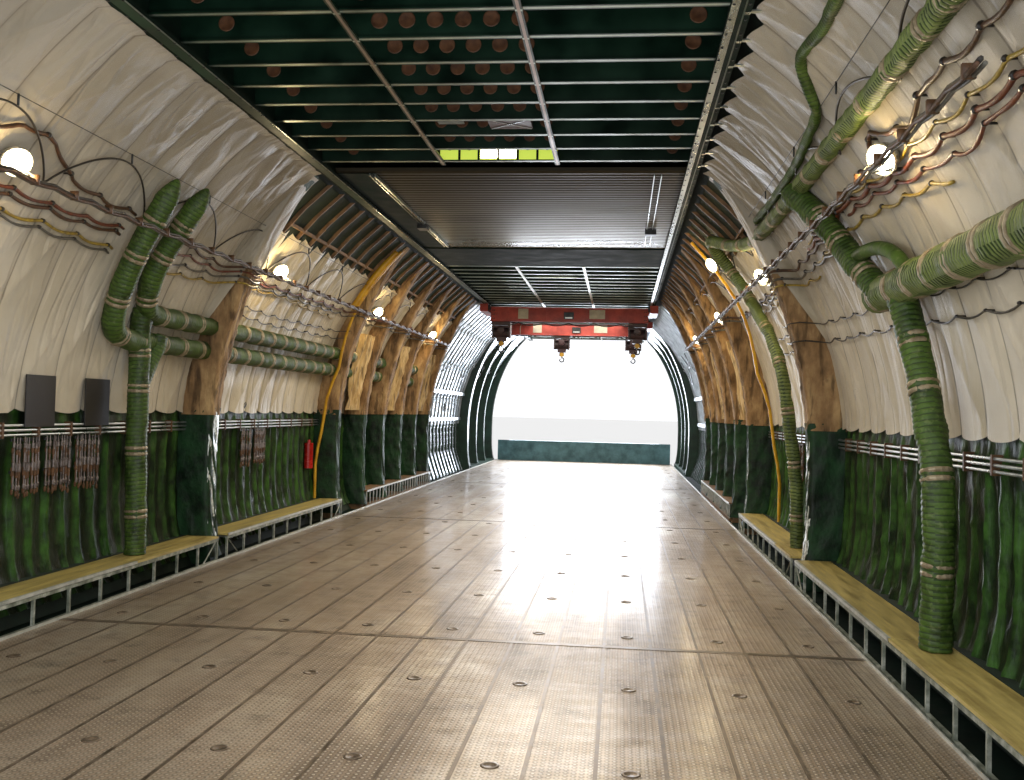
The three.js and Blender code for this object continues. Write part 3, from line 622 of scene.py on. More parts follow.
def lining(low, high, y0, y1, seed, pointed, edge):
    """Padded cloth on the wall. Rows go up the wall and columns along it. A point stands off by a
    bulge between the seams at the frame pitch, by long folds that slant from seam to seam, by creases
    that lean another way in each bay and grow towards the top edge, and by a slack roll at the hem.
    The hem hangs lowest between two seams; a pointed top edge reaches highest at them. With an edge
    (sideways places between seams and at them), four more rows turn in under the ceiling."""
    run, along, stand = wall_grid(low, high, y0, y1, 64)
    height = float(run.max())
    bay = (along - AFT) / BAY
    full = np.abs(np.sin(np.pi * bay)) ** 0.5
    lean = 0.55 * drift(np.floor(bay) * 1.7, bay * 0, seed)
    slanted = along + lean * run
    fan = creases(slanted * 7.5, run * 0.45, seed + 1) * (0.12 + 0.88 * (run / height) ** 2)
    gather = creases(slanted * 17.0, run * 0.8, seed + 2) * eased(run / height, 0.55, 1.0)
    slack = creases(along * 3.1 - run * 1.2, run * 1.5, seed + 3)
    sweep = creases(along * 3.6 - (2.1 + 1.2 * lean) * run, run * 0.3, seed + 7) ** 1.6
    bulge = 0.020 + 0.007 * drift(bay * 0.9, run * 0.7, seed + 4) + 0.012 * np.exp(-run / 0.09)
    off = 0.010 + full * (bulge + 0.020 * fan + 0.026 * sweep + 0.012 * gather + 0.010 * slack)
    drop = 0.045 * full * np.exp(-run / 0.2)
    reach = pointed * (1 - full) * np.exp(-(height - run) / 0.15)
    points = stand(off, reach - drop)
    if edge:
        y, last = along[0], points[-1]
        x = edge[1] + (edge[0] - edge[1]) * full[0] ** 2 + 0.006 * creases(y * 9.0, y * 0, seed + 6)
        end = np.stack([x, y, y * 0 + RAIL_UNDER + 0.022], axis=1)
        points = np.concatenate([points, [last + k * (end - last) for k in (0.25, 0.5, 0.75, 1.0)]])
    return sheet_shape(points, flip=True), y1 - y0, height


def lower_cloth(low, high, y0, y1, seed):
    """Creased cloth over the lower wall: it rounds a rib each quarter metre, hangs back between two
    ribs, and gathers into upright folds that drift sideways as they fall."""
    run, along, stand = wall_grid(low, high, y0, y1, 46)
    bay = 2 * (along - AFT) / BAY
    rib = np.exp(-((bay - np.round(bay)) * BAY / 2 / 0.032) ** 2)
    sway = along + 0.05 * drift(along * 1.5, run * 2.0, seed)
    folds = creases(sway * 8.0, run * 1.1, seed + 1)
    small = creases(sway * 15.0 + run * 3.0, run * 5.0, seed + 2)
    off = 0.010 + 0.048 * rib + (1 - rib) * (0.026 * folds + 0.012 * small) + 0.014 * rib * small
    off = 0.004 + (off - 0.004) * eased(run.max() - run, 0.03, 0.3)
    return sheet_shape(stand(off), flip=True), y1 - y0, float(run.max())


def around_frame(half):
    """A U with rounded corners, aft side first, as columns of (share of depth behind the edge, step
    into the hold, place along Y) and the normal of each."""
    corner = 0.04
    bend = np.linspace(0, np.pi / 2, 6)
    zero, one = np.zeros(7), np.ones(7)
    aft = np.array([np.append(np.linspace(1, 0, 8)[:-1], 0 * bend), np.append(zero, corner * np.sin(bend)),
                    np.append(-half * one, corner * (1 - np.cos(bend)) - half),
                    np.append(zero, np.sin(bend)), np.append(-one, -np.cos(bend))])
    front = np.array([zero, corner * one, np.linspace(-1, 1, 9)[1:-1] * (half - corner), one, zero])
    return np.hstack([aft, front, aft[:, ::-1] * [[1], [1], [-1], [1], [-1]]])


def sleeve(middle, width, low, high, seed, deep, plump, slant=0.0):
    """Cloth drawn round a frame, from the wall behind it to the wall ahead. It stands off the frame
    by long creases that lean, `deep` metres high, and by a plump middle on each face. Its lower edge
    hangs `slant` metres lower at the wall than at the frame's inner edge."""
    z = np.linspace(low, high, 3 + round((high - low) / 0.04))[:, None]
    share, inwards, y, normal_x, normal_y = around_frame(width / 2 + 0.012)
    z = z - slant * share * (high - z) / (high - low)
    inner = np.minimum(half_width(FRAME_EDGE, z), half_width(LINING, z) - 0.013)
    outer = half_width(LINING, z) - 0.002
    girth = np.cumsum(np.hypot(np.diff(share, prepend=share[0]) * 0.35, np.diff(y, prepend=y[0])))
    lean = girth + 0.35 * z + 0.04 * drift(z * 2.0, girth * 3.0, seed)
    off = 0.006 + deep * creases(lean * 13.0, z * 1.3 + girth, seed + 1)
    off = off + 0.5 * deep * creases(lean * 27.0, z * 3.0, seed + 2)
    off = off + plump * (1 - np.abs(2 * share - 1)) * (share > 0) + 0.4 * plump * normal_x
    taper = eased(outer - inner, 0.03, 0.2)
    off = off * (0.35 + 0.65 * taper)
    x = inner - inwards * (0.25 + 0.75 * taper) + share * (outer - inner) - normal_x * off
    points = np.stack(np.broadcast_arrays(x, middle + y + normal_y * off, z), axis=2)
    girth = 2 * float(np.mean(outer - inner)) + width
    length = float(np.hypot(np.diff(inner, axis=0), np.diff(z, axis=0)).sum(axis=0).mean())
    return sheet_shape(points, flip=True), girth * 1.1, length * 1.05


def drape(y0, y1, low, high, seed):
    """A tan cloth hung beside a frame, just behind the frames' inner edge: upright folds that widen
    downwards, and a top and bottom drawn back towards the wall."""
    z, y = np.meshgrid(np.linspace(low, high, 40), np.linspace(y0, y1, 34), indexing="ij")
    up = (z - low) / (high - low)
    swing = y + 0.12 * (1 - up) * drift(y * 2.0, z * 0.8, seed)
    folds = creases(swing * 9.0, z * 0.9, seed + 1)
    side_in = 0.07 * (1 - np.abs(np.sin(np.pi * (y - y0) / (y1 - y0))) ** 0.5)
    x = half_width(FRAME_EDGE, z) + 0.045 - 0.075 * folds + side_in + 0.04 * eased(up, 0.8, 1.0)
    points = np.stack([np.minimum(x, half_width(LINING, z) - 0.06), y, z], axis=2)
    return sheet_shape(points, flip=True), (y1 - y0) * 1.25, (high - low) * 1.1


def edge_cover(middle, width, low, high, seed):
    """The pale cover down a frame's face, partly a shiny edge film and partly a painted highlight: a thin
    strip whose edges wander a little.
    """
    z = np.linspace(low, high, 70)[:, None]
    share = np.linspace(-1, 1, 9)
    half = (width / 2 + 0.004) * (1 + 0.10 * drift(z * 7.0, np.sign(share) * 3.0, seed))
    inner = half_width(FRAME_EDGE, z)
    off = 0.050 + 0.010 * creases(z * 6.0 + share, share * 2.0, seed + 1) - 0.018 * share ** 6
    points = np.stack(np.broadcast_arrays(inner - off, middle + share * half, z), axis=2)
    return sheet_shape(points, flip=True)


def hang(name, side, cloth, finish):
    """Adds a cloth as a piece. Its two sides stay under 30 m."""
    shape, across, length = cloth
    piece = add_piece(name, [(shape, finish)], side, smooth=True)


HEM = DECK + 1.70
HALF_FRAME = FRAME_WIDTH / 2
BARE_RIBS_FROM = 4.62
LINING_BAYS = [("aft", AFT + 0.02, FRAME_1 - HALF_FRAME, RAIL_UNDER + 0.03, 0.0),
               ("mid", FRAME_1 + HALF_FRAME, FRAME_2 - HALF_FRAME, BARE_RIBS_FROM, 0.16),
               ("fore", FRAME_2 + HALF_FRAME, NOSE_BAY - 0.02, BARE_RIBS_FROM, 0.16)]
TURNED_IN = {"left": (2.105, 2.13), "right": (2.12, 2.21)}
for side_name, side in SIDES:
    for number, (bay, y0, y1, top, pointed) in enumerate(LINING_BAYS):
        seed = 10 * number + (100 if side > 0 else 200)
        edge = TURNED_IN[side_name] if bay == "aft" else None
        cloth = lining(HEM, top, y0, y1, seed, pointed, edge)
        hang(f"lining_{side_name}_{bay}", side, cloth, CREAM)
        cloth = lower_cloth(DECK + 0.02, HEM + 0.06, y0, y1, seed + 5)
        hang(f"lower_cloth_{side_name}_{bay}", side, cloth, GREEN_CLOTH)

SLEEVED = [("frame_1", FRAME_1, 0.020, 0.0), ("frame_2", FRAME_2, 0.020, 0.02)]
SLEEVED += [(f"mid_frame_{i + 1}", y, 0.024, 0.045) for i, y in enumerate(MID_FRAMES)]
DRAPES = [(-3.45, -2.72), (-0.4, 0.28), (2.6, 3.28)]
SLEEVE_TOP = DECK + 3.36
for side_name, side in SIDES:
    for number, (name, y, deep, plump) in enumerate(SLEEVED):
        seed = 31 * number + (300 if side > 0 else 400)
        top = SLEEVE_TOP if name == "frame_1" else RAIL_UNDER - 0.01
        cloth = sleeve(y, FRAME_WIDTH, HEM - 0.06, top, seed, deep, plump)
        hang(f"{name}_sleeve_{side_name}", side, cloth, TAN)
        cloth = sleeve(y, FRAME_WIDTH - 0.01, DECK + 0.03, HEM + 0.02, seed + 7, deep, plump * 0.4)
        hang(f"{name}_foot_{side_name}", side, cloth, GREEN_SLEEVE)
        if name == "frame_1":
            cloth = sleeve(y, FRAME_WIDTH + 0.045, SLEEVE_TOP - 0.05, RAIL_UNDER + 0.01, seed + 3, 0.016,
                           0.02, slant=0.8)
            hang(f"lining_over_frame_1_{side_name}", side, cloth, CREAM)
        # Down each frame's face a pale strip: partly a shiny edge film, partly a painted highlight.
        cover = edge_cover(y, FRAME_WIDTH * (0.45 if plump else 1.0), DECK + 0.04, HEM - 0.02, seed + 9)
        cover = add_piece(f"{name}_edge_cover_{side_name}", [(cover, EDGE_FILM_HIGHLIGHT)], side, smooth=True)
        cover.modifiers.new("thickness", "SOLIDIFY").thickness = 0.003
    for number, (y0, y1) in enumerate(DRAPES):
        cloth = drape(y0, y1, HEM + 0.02, DECK + 3.05, 700 + 11 * number + (5 if side > 0 else 0))
        hang(f"mid_drape_{number + 1}_{side_name}", side, cloth, DRAPE)


# Ducts: the same centre lines as their solids, sideways, along and above the deck

LEFT_DUCTS = [
    (0.10, DUCT_GREEN, [(2.66, -11.8, 3.76), (3.0, -11.75, 3.2), (3.25, -11.65, 2.75), (3.38, -11.5, 2.45),
                        (3.41, -11.2, 2.37), (3.43, -10.8, 2.37), (3.43, -10.3, 2.37), (3.43, 2.9, 2.37)]),
    (0.10, DUCT_GREEN, [(2.62, -11.25, 3.8), (2.95, -11.2, 3.35), (3.2, -11.15, 2.95), (3.31, -11, 2.69),
                        (3.34, -10.75, 2.64), (3.35, -10.3, 2.64), (3.35, 2.9, 2.64)]),
    (0.10, DUCT_GREEN, [(3.36, -10.98, 2.68), (3.41, -10.93, 2.45), (3.42, -10.9, 2.2), (3.42, -10.9, 1.2),
                        (3.4, -10.9, 0.6), (3.4, -10.9, 0.276)]),
]
RIGHT_DUCTS = [
    (0.07, DUCT_PALE, [(2.78, -15.95, 3.74), (2.78, -10.3, 3.74), (2.757, -9.5, 3.735), (2.757, -9.0, 3.735),
                       (2.62, -7.9, 3.86), (2.44, -7.1, 4.03), (2.64, -6.9, 3.8), (2.82, -7.0, 3.54),
                       (2.98, -7.55, 3.1), (3.12, -8.05, 2.65), (3.2, -8.35, 2.16), (3.27, -8.4, 1.64),
                       (3.34, -8.4, 1.1), (3.36, -8.4, 0.6), (3.36, -8.4, 0.276)]),
    (0.10, DUCT_GREEN, [(2.73, -11.5, 3.72), (2.93, -11.8, 3.42), (3.08, -12.1, 3.1), (3.24, -12.5, 2.73)]),
    (0.13, DUCT_PALE, [(3.27, -15.95, 2.73), (3.27, -14, 2.73), (3.27, -12.3, 2.73)]),
    (0.10, DUCT_GREEN, [(3.27, -12.9, 2.73), (3.35, -13.15, 2.1), (3.4, -13.4, 1.3), (3.4, -13.4, 0.6),
                        (3.4, -13.4, 0.276)]),
]
ACROSS_DUCTS = (0.93, 0.12, 0.35)     # never along any duct
RIB_PITCH = 0.041


def route(corners, step):
    """A smooth line through corners that are given above the deck."""
    return smooth_line(corners, step) + [0, 0, DECK]


def chosen(shape, mask):
    """The faces of a shape that a mask picks, with only the points that they use."""
    used, faces = np.unique(shape[1][mask], return_inverse=True)
    return shape[0][used], faces.reshape(-1, 4)


def ribbed_duct(path, radius, colour, pitch, rib, tip=0.0):
    """A wrapped duct: its radius swells by `rib` along a spiral of that pitch, and the wrap puckers.
    With a tip, the first metres of that length narrow to a tied point. The swells have the colour,
    and the valleys between them a darker one, which is painted shade."""
    path = spaced(path, pitch / 4)
    run = np.linspace(0, len(path) * pitch / 4, len(path))[:, None]
    sides = 14
    turn = np.arange(sides) / sides
    swell = rib * np.abs(np.sin(np.pi * (run / pitch + turn)))
    swell = swell + 1.6 * rib * drift(run * 9.0, sides * turn + 0 * run, 77)
    closed = np.sqrt(np.clip(run / tip, 0.01, 1)) if tip else 1.0
    outline = ring(1, sides) * ((radius - rib * 0.4 + swell) * closed)[..., None]
    shape = swept(path, outline, ACROSS_DUCTS)
    # The valley faces take the darker finish, as painted shade.
    valley = np.zeros(len(shape[1]), bool)
    low = np.abs(np.sin(np.pi * (run[:-1] / pitch + 0.125 + turn))) < 0.42
    valley[:low.size] = low.ravel()
    return [(chosen(shape, ~valley), colour), (chosen(shape, valley), DUCT_VALLEY_SHADE)]


def bands(path, radius, pairs):
    """Clamp bands in pairs: short tight rings round a duct at the given lengths along it."""
    step = 0.011
    path = spaced(path, step)
    outline = ring(1, 16) * np.array([radius, radius + 0.007, radius + 0.007, radius])[:, None, None]
    starts = [int(start / step) for at in pairs for start in (at, at + 0.055)]
    return joined([swept(path[start:start + 4], outline, ACROSS_DUCTS) for start in starts
                   if start + 4 <= len(path)])


for side_name, side in SIDES:
    rib = 0.0045 if side < 0 else 0.0065
    wraps, clamps = [], []
    for radius, colour, corners in (LEFT_DUCTS if side < 0 else RIGHT_DUCTS):
        path = route(corners, 0.02)
        tied = side < 0 and corners[0][2] > 3.5
        wraps += ribbed_duct(path, radius, colour, RIB_PITCH, rib, 0.2 if tied else 0.0)
        upright = corners[-1][2] < 0.3
        places = [0.4] + list(np.arange(0.75, 0.02 * len(path) - 0.15, 0.62 if upright else 0.45))
        clamps.append((bands(path, radius + 0.002, places), CLAMP))
    wrap = add_piece(f"duct_wraps_{side_name}", wraps, side, smooth=True)
    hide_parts(f"ducts_{side_name}")
    if side < 0:
        fork = route([(3.36, -10.62, 2.44), (3.38, -10.66, 2.3), (3.41, -10.78, 2.1), (3.43, -10.89, 1.85),
                      (3.43, -10.9, 1.6)], 0.02)
        fork = ribbed_duct(fork, 0.085, DUCT_GREEN, RIB_PITCH, rib)
        add_piece("duct_fork_left", fork, side, smooth=True)
    add_piece(f"duct_clamps_{side_name}", clamps, side)

wide = swept(route([(2.3, -4.72, 4.27), (2.63, -4.72, 3.9), (2.98, -4.72, 3.38)], 0.03), ring(0.055, 12))
add_piece("yellow_wrap_left", [(wide, YELLOW)], -1, smooth=True)

BRANCH = [(2.46, -14.9, 4.14), (2.47, -14.1, 4.13), (2.45, -13.5, 4.15), (2.54, -13.3, 4.03),
          (2.62, -13.15, 3.93), (2.66, -12.6, 3.87), (2.7, -11.9, 3.86), (2.71, -10.4, 3.85),
          (2.7, -9.5, 3.86)]
branch = ribbed_duct(route(BRANCH, 0.02), 0.036, DUCT_GREEN, 0.036, 0.004)
add_piece("branch_duct_right", branch, smooth=True)
STUB = [(3.1, -12.1, 3.02), (3.13, -12.45, 3.05), (3.16, -12.8, 3.02), (3.2, -13.05, 2.93),
        (3.24, -13.2, 2.8)]
path = route(STUB, 0.01)
reach = np.linspace(0, 1, len(path))[:, None, None]
outline = ring(1, 14) * 0.052 * np.sqrt(1 - np.clip(1 - reach / 0.12, 0, 1) ** 2 * 0.98)
add_piece("duct_stub_right", [(swept(path, outline, ACROSS_DUCTS), DUCT_GREEN)], smooth=True)


# Cables that hug the lining, in lengths of (finish, radius, [(place along Y, height above deck)])

LEFT_LOOMS = [
    (BROWN, 0.021, [(-15.9, 3.3), (-14.6, 3.45), (-13.97, 3.61), (-13.81, 3.7), (-13.37, 3.68),
                    (-12.95, 3.49), (-12.42, 3.45), (-11.85, 3.46)]),
    (RUSSET, 0.018, [(-15.9, 3.3), (-13.3, 3.31), (-12.4, 3.29), (-11.9, 3.31)]),
    (BROWN, 0.018, [(-15.9, 3.24), (-13.3, 3.26), (-12.4, 3.25), (-11.9, 3.27)]),
    (YELLOW_LOOM, 0.017, [(-15.9, 3.14), (-13.0, 3.15), (-11.92, 3.13)]),
    (GREY_LOOM, 0.014, [(-15.9, 3.08), (-13.0, 3.10), (-11.92, 3.09)]),
    (BROWN, 0.018, [(-11.0, 3.42), (-10.1, 3.33), (-8.0, 3.30), (-4.0, 3.32), (3.5, 3.3)]),
    (RUSSET, 0.016, [(-11.0, 3.30), (-9.9, 3.26), (-7.0, 3.30), (-2.0, 3.36), (3.5, 3.38)]),
    (GREY_LOOM, 0.015, [(-11.0, 3.18), (-9.6, 3.20), (-6.0, 3.26), (3.5, 3.24)]),
    (YELLOW_LOOM, 0.015, [(-11.0, 3.08), (-9.8, 3.13), (-8.0, 3.2), (-5.2, 3.17)]),
    (BLACK, 0.009, [(-8.9, 2.98), (-7.0, 2.96), (-4.5, 3.0)]),
    (BLACK, 0.009, [(-8.9, 2.86), (-7.0, 2.85), (-4.5, 2.9)]),
]
RIGHT_LOOMS = [
    (BROWN, 0.021, [(-15.9, 3.6), (-15.2, 3.6), (-14.7, 3.63), (-14.2, 3.52), (-13.9, 3.57), (-13.6, 3.66),
                    (-13.2, 3.52), (-12.6, 3.5), (-11.0, 3.44)]),
    (YELLOW_LOOM, 0.015, [(-15.9, 3.43), (-14.8, 3.44), (-13.6, 3.45), (-12.4, 3.5), (-10.5, 3.42)]),
    (RUSSET, 0.022, [(-15.9, 3.37), (-14.8, 3.36), (-13.9, 3.38), (-13.0, 3.43), (-12.3, 3.46),
                     (-10.6, 3.38)]),
    (RUSSET, 0.017, [(-15.9, 3.28), (-15.2, 3.30), (-14.6, 3.25), (-14.2, 3.3), (-13.2, 3.36), (-12.2, 3.4)]),
    (YELLOW_LOOM, 0.017, [(-14.3, 3.19), (-13.4, 3.25), (-12.6, 3.3), (-11.6, 3.3), (-10.6, 3.26)]),
    (BROWN, 0.02, [(-11.4, 3.38), (-9.6, 3.34), (-6.0, 3.30), (-2.0, 3.34), (3.5, 3.3)]),
    (GREY_LOOM, 0.018, [(-11.4, 3.26), (-8.6, 3.24), (-4.0, 3.28), (3.5, 3.26)]),
    (YELLOW_LOOM, 0.015, [(-10.4, 3.16), (-8.6, 3.18), (-5.6, 3.15)]),
    (BLACK, 0.008, [(-15.9, 2.62), (-14.3, 2.63), (-12.0, 2.7), (-9.6, 2.78), (-6.0, 2.8)]),
    (BLACK, 0.010, [(-15.9, 2.42), (-14.3, 2.44), (-12.0, 2.52), (-9.3, 2.6), (-6.0, 2.62)]),
]
HEAVY_FRAMES = np.array([FRAME_1, FRAME_2] + MID_FRAMES)


def beside_wall(y, z, off):
    """Sideways place of something `off` metres inside the lining, or inside a frame's sleeve near it."""
    near = np.abs(y[:, None] - HEAVY_FRAMES).min(axis=1)
    over = eased(0.38 - near, 0.0, 0.22)
    wall = half_width(LINING, z) - off
    return wall * (1 - over) + (half_width(FRAME_EDGE, z) - 0.055 - off * 0.4) * over


def loom(corners, radius, seed):
    """A cable bundle, and the dark ties that hold it each 0.5 m. It sags a little between them,
    wanders, and is lumpy."""
    corners = np.array(corners)
    start, end = corners[[0, -1], 0]

    def level(y):
        return np.interp(y, *corners.T) + DECK + 0.012 * drift(y * 2.3, y * 0, seed)

    y = np.linspace(start, end, round((end - start) / 0.06))
    z = level(y) - 0.03 * np.abs(np.sin(np.pi * (y - AFT) / BAY))
    x = beside_wall(y, z, 0.065 + radius + 0.012 * drift(y * 3.1, y * 0, seed + 1))
    lumps = radius * (1 + 0.16 * drift(y * 11.0, y * 0, seed + 2))
    bundle = swept(np.stack([x, y, z], axis=1), ring(1, 8) * lumps[:, None, None])
    y = np.arange(np.ceil(start / BAY) * BAY, end - 0.05, BAY)
    held = np.stack([beside_wall(y, level(y), 0.065 + radius), y, level(y)], axis=1)
    outer = 1.4 * radius
    tie = turned([(radius, -0.014), (outer, -0.011), (outer, 0.011), (radius, 0.014)], 8, (0, 1, 0))
    post = boxes([(0, 0.075, -0.008, 0.008, -0.006, 0.006)])
    return bundle, joined([repeated(tie, held), repeated(post, held)])


for side_name, side in SIDES:
    parts = []
    for number, (colour, radius, corners) in enumerate(LEFT_LOOMS if side < 0 else RIGHT_LOOMS):
        bundle, ties = loom(corners, 0.75 * radius, 500 + 3 * number)
        parts += [(bundle, colour), (ties, BLACK)]
    add_piece(f"wall_looms_{side_name}", parts, side, smooth=True)


def lamp_head(middle):
    """A work lamp: a spun shell open towards the hold and downwards, with a lit globe in it."""
    axis = (-0.72, -0.45, -0.53)
    shell = turned([(0.022, -0.12), (0.05, -0.11), (0.085, -0.06), (0.108, 0.0), (0.112, 0.03), (0.104, 0.03),
                    (0.098, 0.0), (0.075, -0.05), (0.03, -0.09)], 20, axis, middle)
    globe = turned([(0.01, -0.07), (0.045, -0.055), (0.068, -0.02), (0.072, 0.01), (0.06, 0.045),
                    (0.03, 0.066), (0.008, 0.072)], 16, axis, middle)
    return [(shell, LAMP_SHELL), (globe, LAMP_GLASS)]


LAMPS_AT = [-13.75, -8.35, -3.4, 1.6]
LAMPS = {side_name: [(2.93, y, DECK + 3.43) for y in LAMPS_AT] for side_name, _ in SIDES}
LAMPS["right"].append((2.56, -6.0, DECK + 3.92))
LOOM_END = 3.2
for side_name, side in SIDES:
    run = np.arange(AFT + 0.1, LOOM_END + 0.1, 0.1)
    wander = np.stack([2.78 + 0 * run, run, DECK + 3.3 - 0.02 * np.abs(np.sin(np.pi * run / BAY))], axis=1)
    parts = [(swept(wander + [dx, 0, dz], ring(r, 6)), colour) for dx, dz, r, colour in
             ((0.0, 0.012, 0.013, BLACK), (0.018, -0.008, 0.011, GREY_LOOM), (-0.016, -0.01, 0.012, BROWN))]
    hangers = boxes([(2.75, 2.81, y - 0.012, y + 0.012, 3.262, 3.33)
                     for y in np.arange(AFT + BAY / 2, LOOM_END, BAY)], DECK)
    arms = [swept(smooth_line([(2.77, y, DECK + 3.31), (2.9, y + 0.02, DECK + 3.36),
                               (3.09, y + 0.03, DECK + 3.37)], 0.03), ring(0.014, 8)) for y in LAMPS_AT]
    if side > 0:
        arms.append(swept([(2.61, -6.0, DECK + 3.9), (3.02, -6.0, DECK + 3.47)], ring(0.01, 6)))
    parts += [(hangers, BRACKET), (joined(arms), STEEL)]
    for middle in LAMPS[side_name]:
        parts += lamp_head(middle)
    lamps = add_piece(f"lamps_and_cable_{side_name}", parts, side, smooth=True)
    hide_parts(f"lamps_{side_name}")


# The lamp leads, from their starts in the wall, held up at each period

LEAD_START, LEAD_END, LEAD_PERIOD, LEAD_THICK = -15.6, 1.4, 1.55, 0.017
LEADS = {"left": (3.74, 3.37, -14.05), "right": (3.86, 3.66, -15.3)}


def festoon(high, low, held):
    """The lamp lead, held up at one place and at each period from it, and tied down to the looms
    halfway, so its height follows a root of the size of a cosine, which rounds the tops and points
    the bottoms. It comes out of the wall and goes back into it."""
    y = np.linspace(LEAD_START, LEAD_END, round((LEAD_END - LEAD_START) / 0.035))
    z = DECK + low + (high - low) * np.abs(np.cos(np.pi * (y - held) / LEAD_PERIOD)) ** 0.75
    out = np.minimum(eased(y, LEAD_START, LEAD_START + 0.3), 1 - eased(y, LEAD_END - 0.3, LEAD_END))
    return np.stack([half_width(LINING, z) - 0.018 - 0.097 * out, y, z], axis=1)


for side_name, side in SIDES:
    high, low, held = LEADS[side_name]
    path = festoon(high, low, held) * [side, 1, 1]
    lead = add_piece(f"lamp_lead_{side_name}", [(swept(path, ring(LEAD_THICK / 2, 8)), BLACK)], smooth=True)
    z = DECK + high + 0.06
    x = float(half_width(LINING, z)) - 0.11
    taut = swept([(x, y, z) for y in np.arange(AFT + 0.1, LEAD_END + 0.2, 1.0)], ring(0.0035, 6))
    clips = boxes([(x - 0.006, x + 0.006, y - 0.006, y + 0.006, z - 0.075, z + 0.006)
                   for y in np.arange(held, LEAD_END, LEAD_PERIOD)])
    add_piece(f"lamp_lead_wire_{side_name}", [(taut, STEEL), (clips, STEEL)], side, smooth=True)


# Thin pipes along the wall, the tensioner racks and blank boards that they carry

CONDUIT_LEVELS = (1.47, 1.51, 1.55)
RACKS = {"left": [-12.45, -11.98, -11.5, -10.55, -7.6, -7.1], "right": [-7.3, -6.8]}
BOARDS = {"left": [-12.25, -11.33], "right": []}
HANGER = [(0.004, -0.42), (0.011, -0.41), (0.014, -0.385), (0.006, -0.37), (0.0065, -0.27), (0.015, -0.262),
          (0.016, -0.2), (0.008, -0.19), (0.007, -0.08), (0.013, -0.075), (0.013, -0.04), (0.006, -0.03),
          (0.004, 0.02)]


def rack(y, seed):
    """A rack of nine chain tensioners: two bars, with turned rods hung from the upper one."""
    rng = np.random.default_rng(seed)
    places = np.stack([3.575 + 0.02 * rng.random(9), y + np.linspace(-0.17, 0.17, 9),
                       DECK + 1.43 + 0.02 * rng.random(9)], axis=1)
    lower = places + np.stack([0.01 * rng.random(9), 0.012 * rng.random(9) - 0.006,
                               -0.03 - 0.05 * rng.random(9)], axis=1)
    bars = boxes([(3.595, 3.61, y - 0.2, y + 0.2, 1.42, 1.445),
                  (3.6, 3.612, y - 0.2, y + 0.2, 1.16, 1.18)], DECK)
    return [(repeated(turned(HANGER, 8), places), RACK_STEEL), (repeated(turned(HANGER, 6), lower), BRACKET),
            (bars, STEEL)]


PIPES_END = FRAME_2 - 0.15
for side_name, side in SIDES:
    tubes = joined([swept([(3.62, AFT + 0.1, DECK + level), (3.62, PIPES_END, DECK + level)], ring(0.0115, 8))
                    for level in CONDUIT_LEVELS])
    brackets = boxes([(3.603, 3.68, y - 0.014, y + 0.014, 1.445, 1.575)
                      for y in np.arange(AFT + BAY / 2, PIPES_END, BAY) if abs(y - FRAME_1) > 0.2], DECK)
    parts = [(tubes, BARE), (brackets, BRACKET)]
    for number, y in enumerate(RACKS[side_name]):
        parts += rack(y, 40 + number)
    if BOARDS[side_name]:
        boards = boxes([(3.6, 3.612, y - 0.215, y + 0.215, 1.535, 1.975) for y in BOARDS[side_name]], DECK)
        parts.append((boards, BOARD))
    pipes = add_piece(f"wall_pipes_{side_name}", parts, side)
    bevel = pipes.modifiers.new("edges", "BEVEL")
    bevel.width, bevel.segments, bevel.limit_method = 0.002, 1, "ANGLE"
    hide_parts(f"pipes_{side_name}")


# Benches

LIDS = {"left": [(1, AFT + 0.06, -11.28), (2, FRAME_1 + 0.15, FRAME_2 - 0.15)],
        "right": [(1, -13.08, FRAME_1 - 0.15), (2, -8.04, FRAME_2 - 0.15)]}
BENCH_RUNS = [(AFT + 0.06, FRAME_1 - 0.13), (FRAME_1 + 0.13, FRAME_2 - 0.13)]


def strut(start, end, width):
    """A square bar between two points."""
    outline = width / 2 * np.array([[1, 1], [-1, 1], [-1, -1], [1, -1]])
    return swept(np.array([start, end], float), outline, (0.99, 0.1, 0.05))


for side_name, side in SIDES:
    braces = boxes([(3.2, 3.5, y - 0.01, y + 0.01, 0.2, 0.218)
                    for y0, y1 in BENCH_RUNS for y in np.arange(y0 + 0.2, y1, 1.0)], DECK)
    add_piece(f"bench_braces_{side_name}", [(braces, PALE_TUBE)], side)
    for number, y0, y1 in LIDS[side_name]:
        edge = boxes([(3.174, 3.179, y0, y1, -0.023, 0.002),
                      (3.179, 3.2, y0, y1, 0.0005, 0.002)], BENCH_TOP)
        add_piece(f"seat_edge_{side_name}_{number}", [(edge, PALE_TUBE)], side, f"lid_{side_name}_{number}")
    start, end = MID_FRAMES[0], MID_FRAMES[-1]
    posts = boxes([(3.222, 3.24, y - 0.009, y + 0.009, DECK, BENCH_TOP - 0.02)
                   for y in np.arange(start, end + 0.01, BAY / 2)]
                  + [(3.215, 3.222, start, end, BENCH_TOP - 0.03, BENCH_TOP + 0.003)])
    add_piece(f"mid_posts_{side_name}", [(posts, PALE_TUBE)], side)


# Deck: riveted lap strips along it, joint strips across it and tie-down cups

SEAMS_AT = [-12.6, -4.4, NOSE_BAY]
along_strips = boxes([(x - 0.011, x + 0.011, AFT + 0.01, NOSE - 0.01, 0.0003, 0.0018)
                      for x in np.arange(-2.975, 3.0, 0.35)], DECK)
across_strips = boxes([(-3.14, 3.14, y - 0.035, y + 0.035, 0.0003, 0.003) for y in SEAMS_AT], DECK)
add_piece("deck_lap_strips", [(along_strips, DECK_STRIP), (across_strips, DECK_STRIP)])
cup = turned([(0.004, 0.0), (0.03, 0.0006), (0.034, 0.004), (0.046, 0.0042), (0.049, 0.0003)], 14)
cup_at = [(x, y, DECK + 0.0002) for x in 0.7 * np.arange(-4, 5) for y in np.arange(AFT + 0.75, NOSE, 1.5)]
add_piece("deck_cups", [(repeated(cup, cup_at), DECK_STRIP)], smooth=True)
curb = boxes([(3.142, 3.15, AFT + 0.02, NOSE - 0.25, DECK, DECK + 0.022)])
add_piece("deck_curbs", [(on_side(curb, side), PALE_TUBE) for _, side in SIDES])


# Ceiling

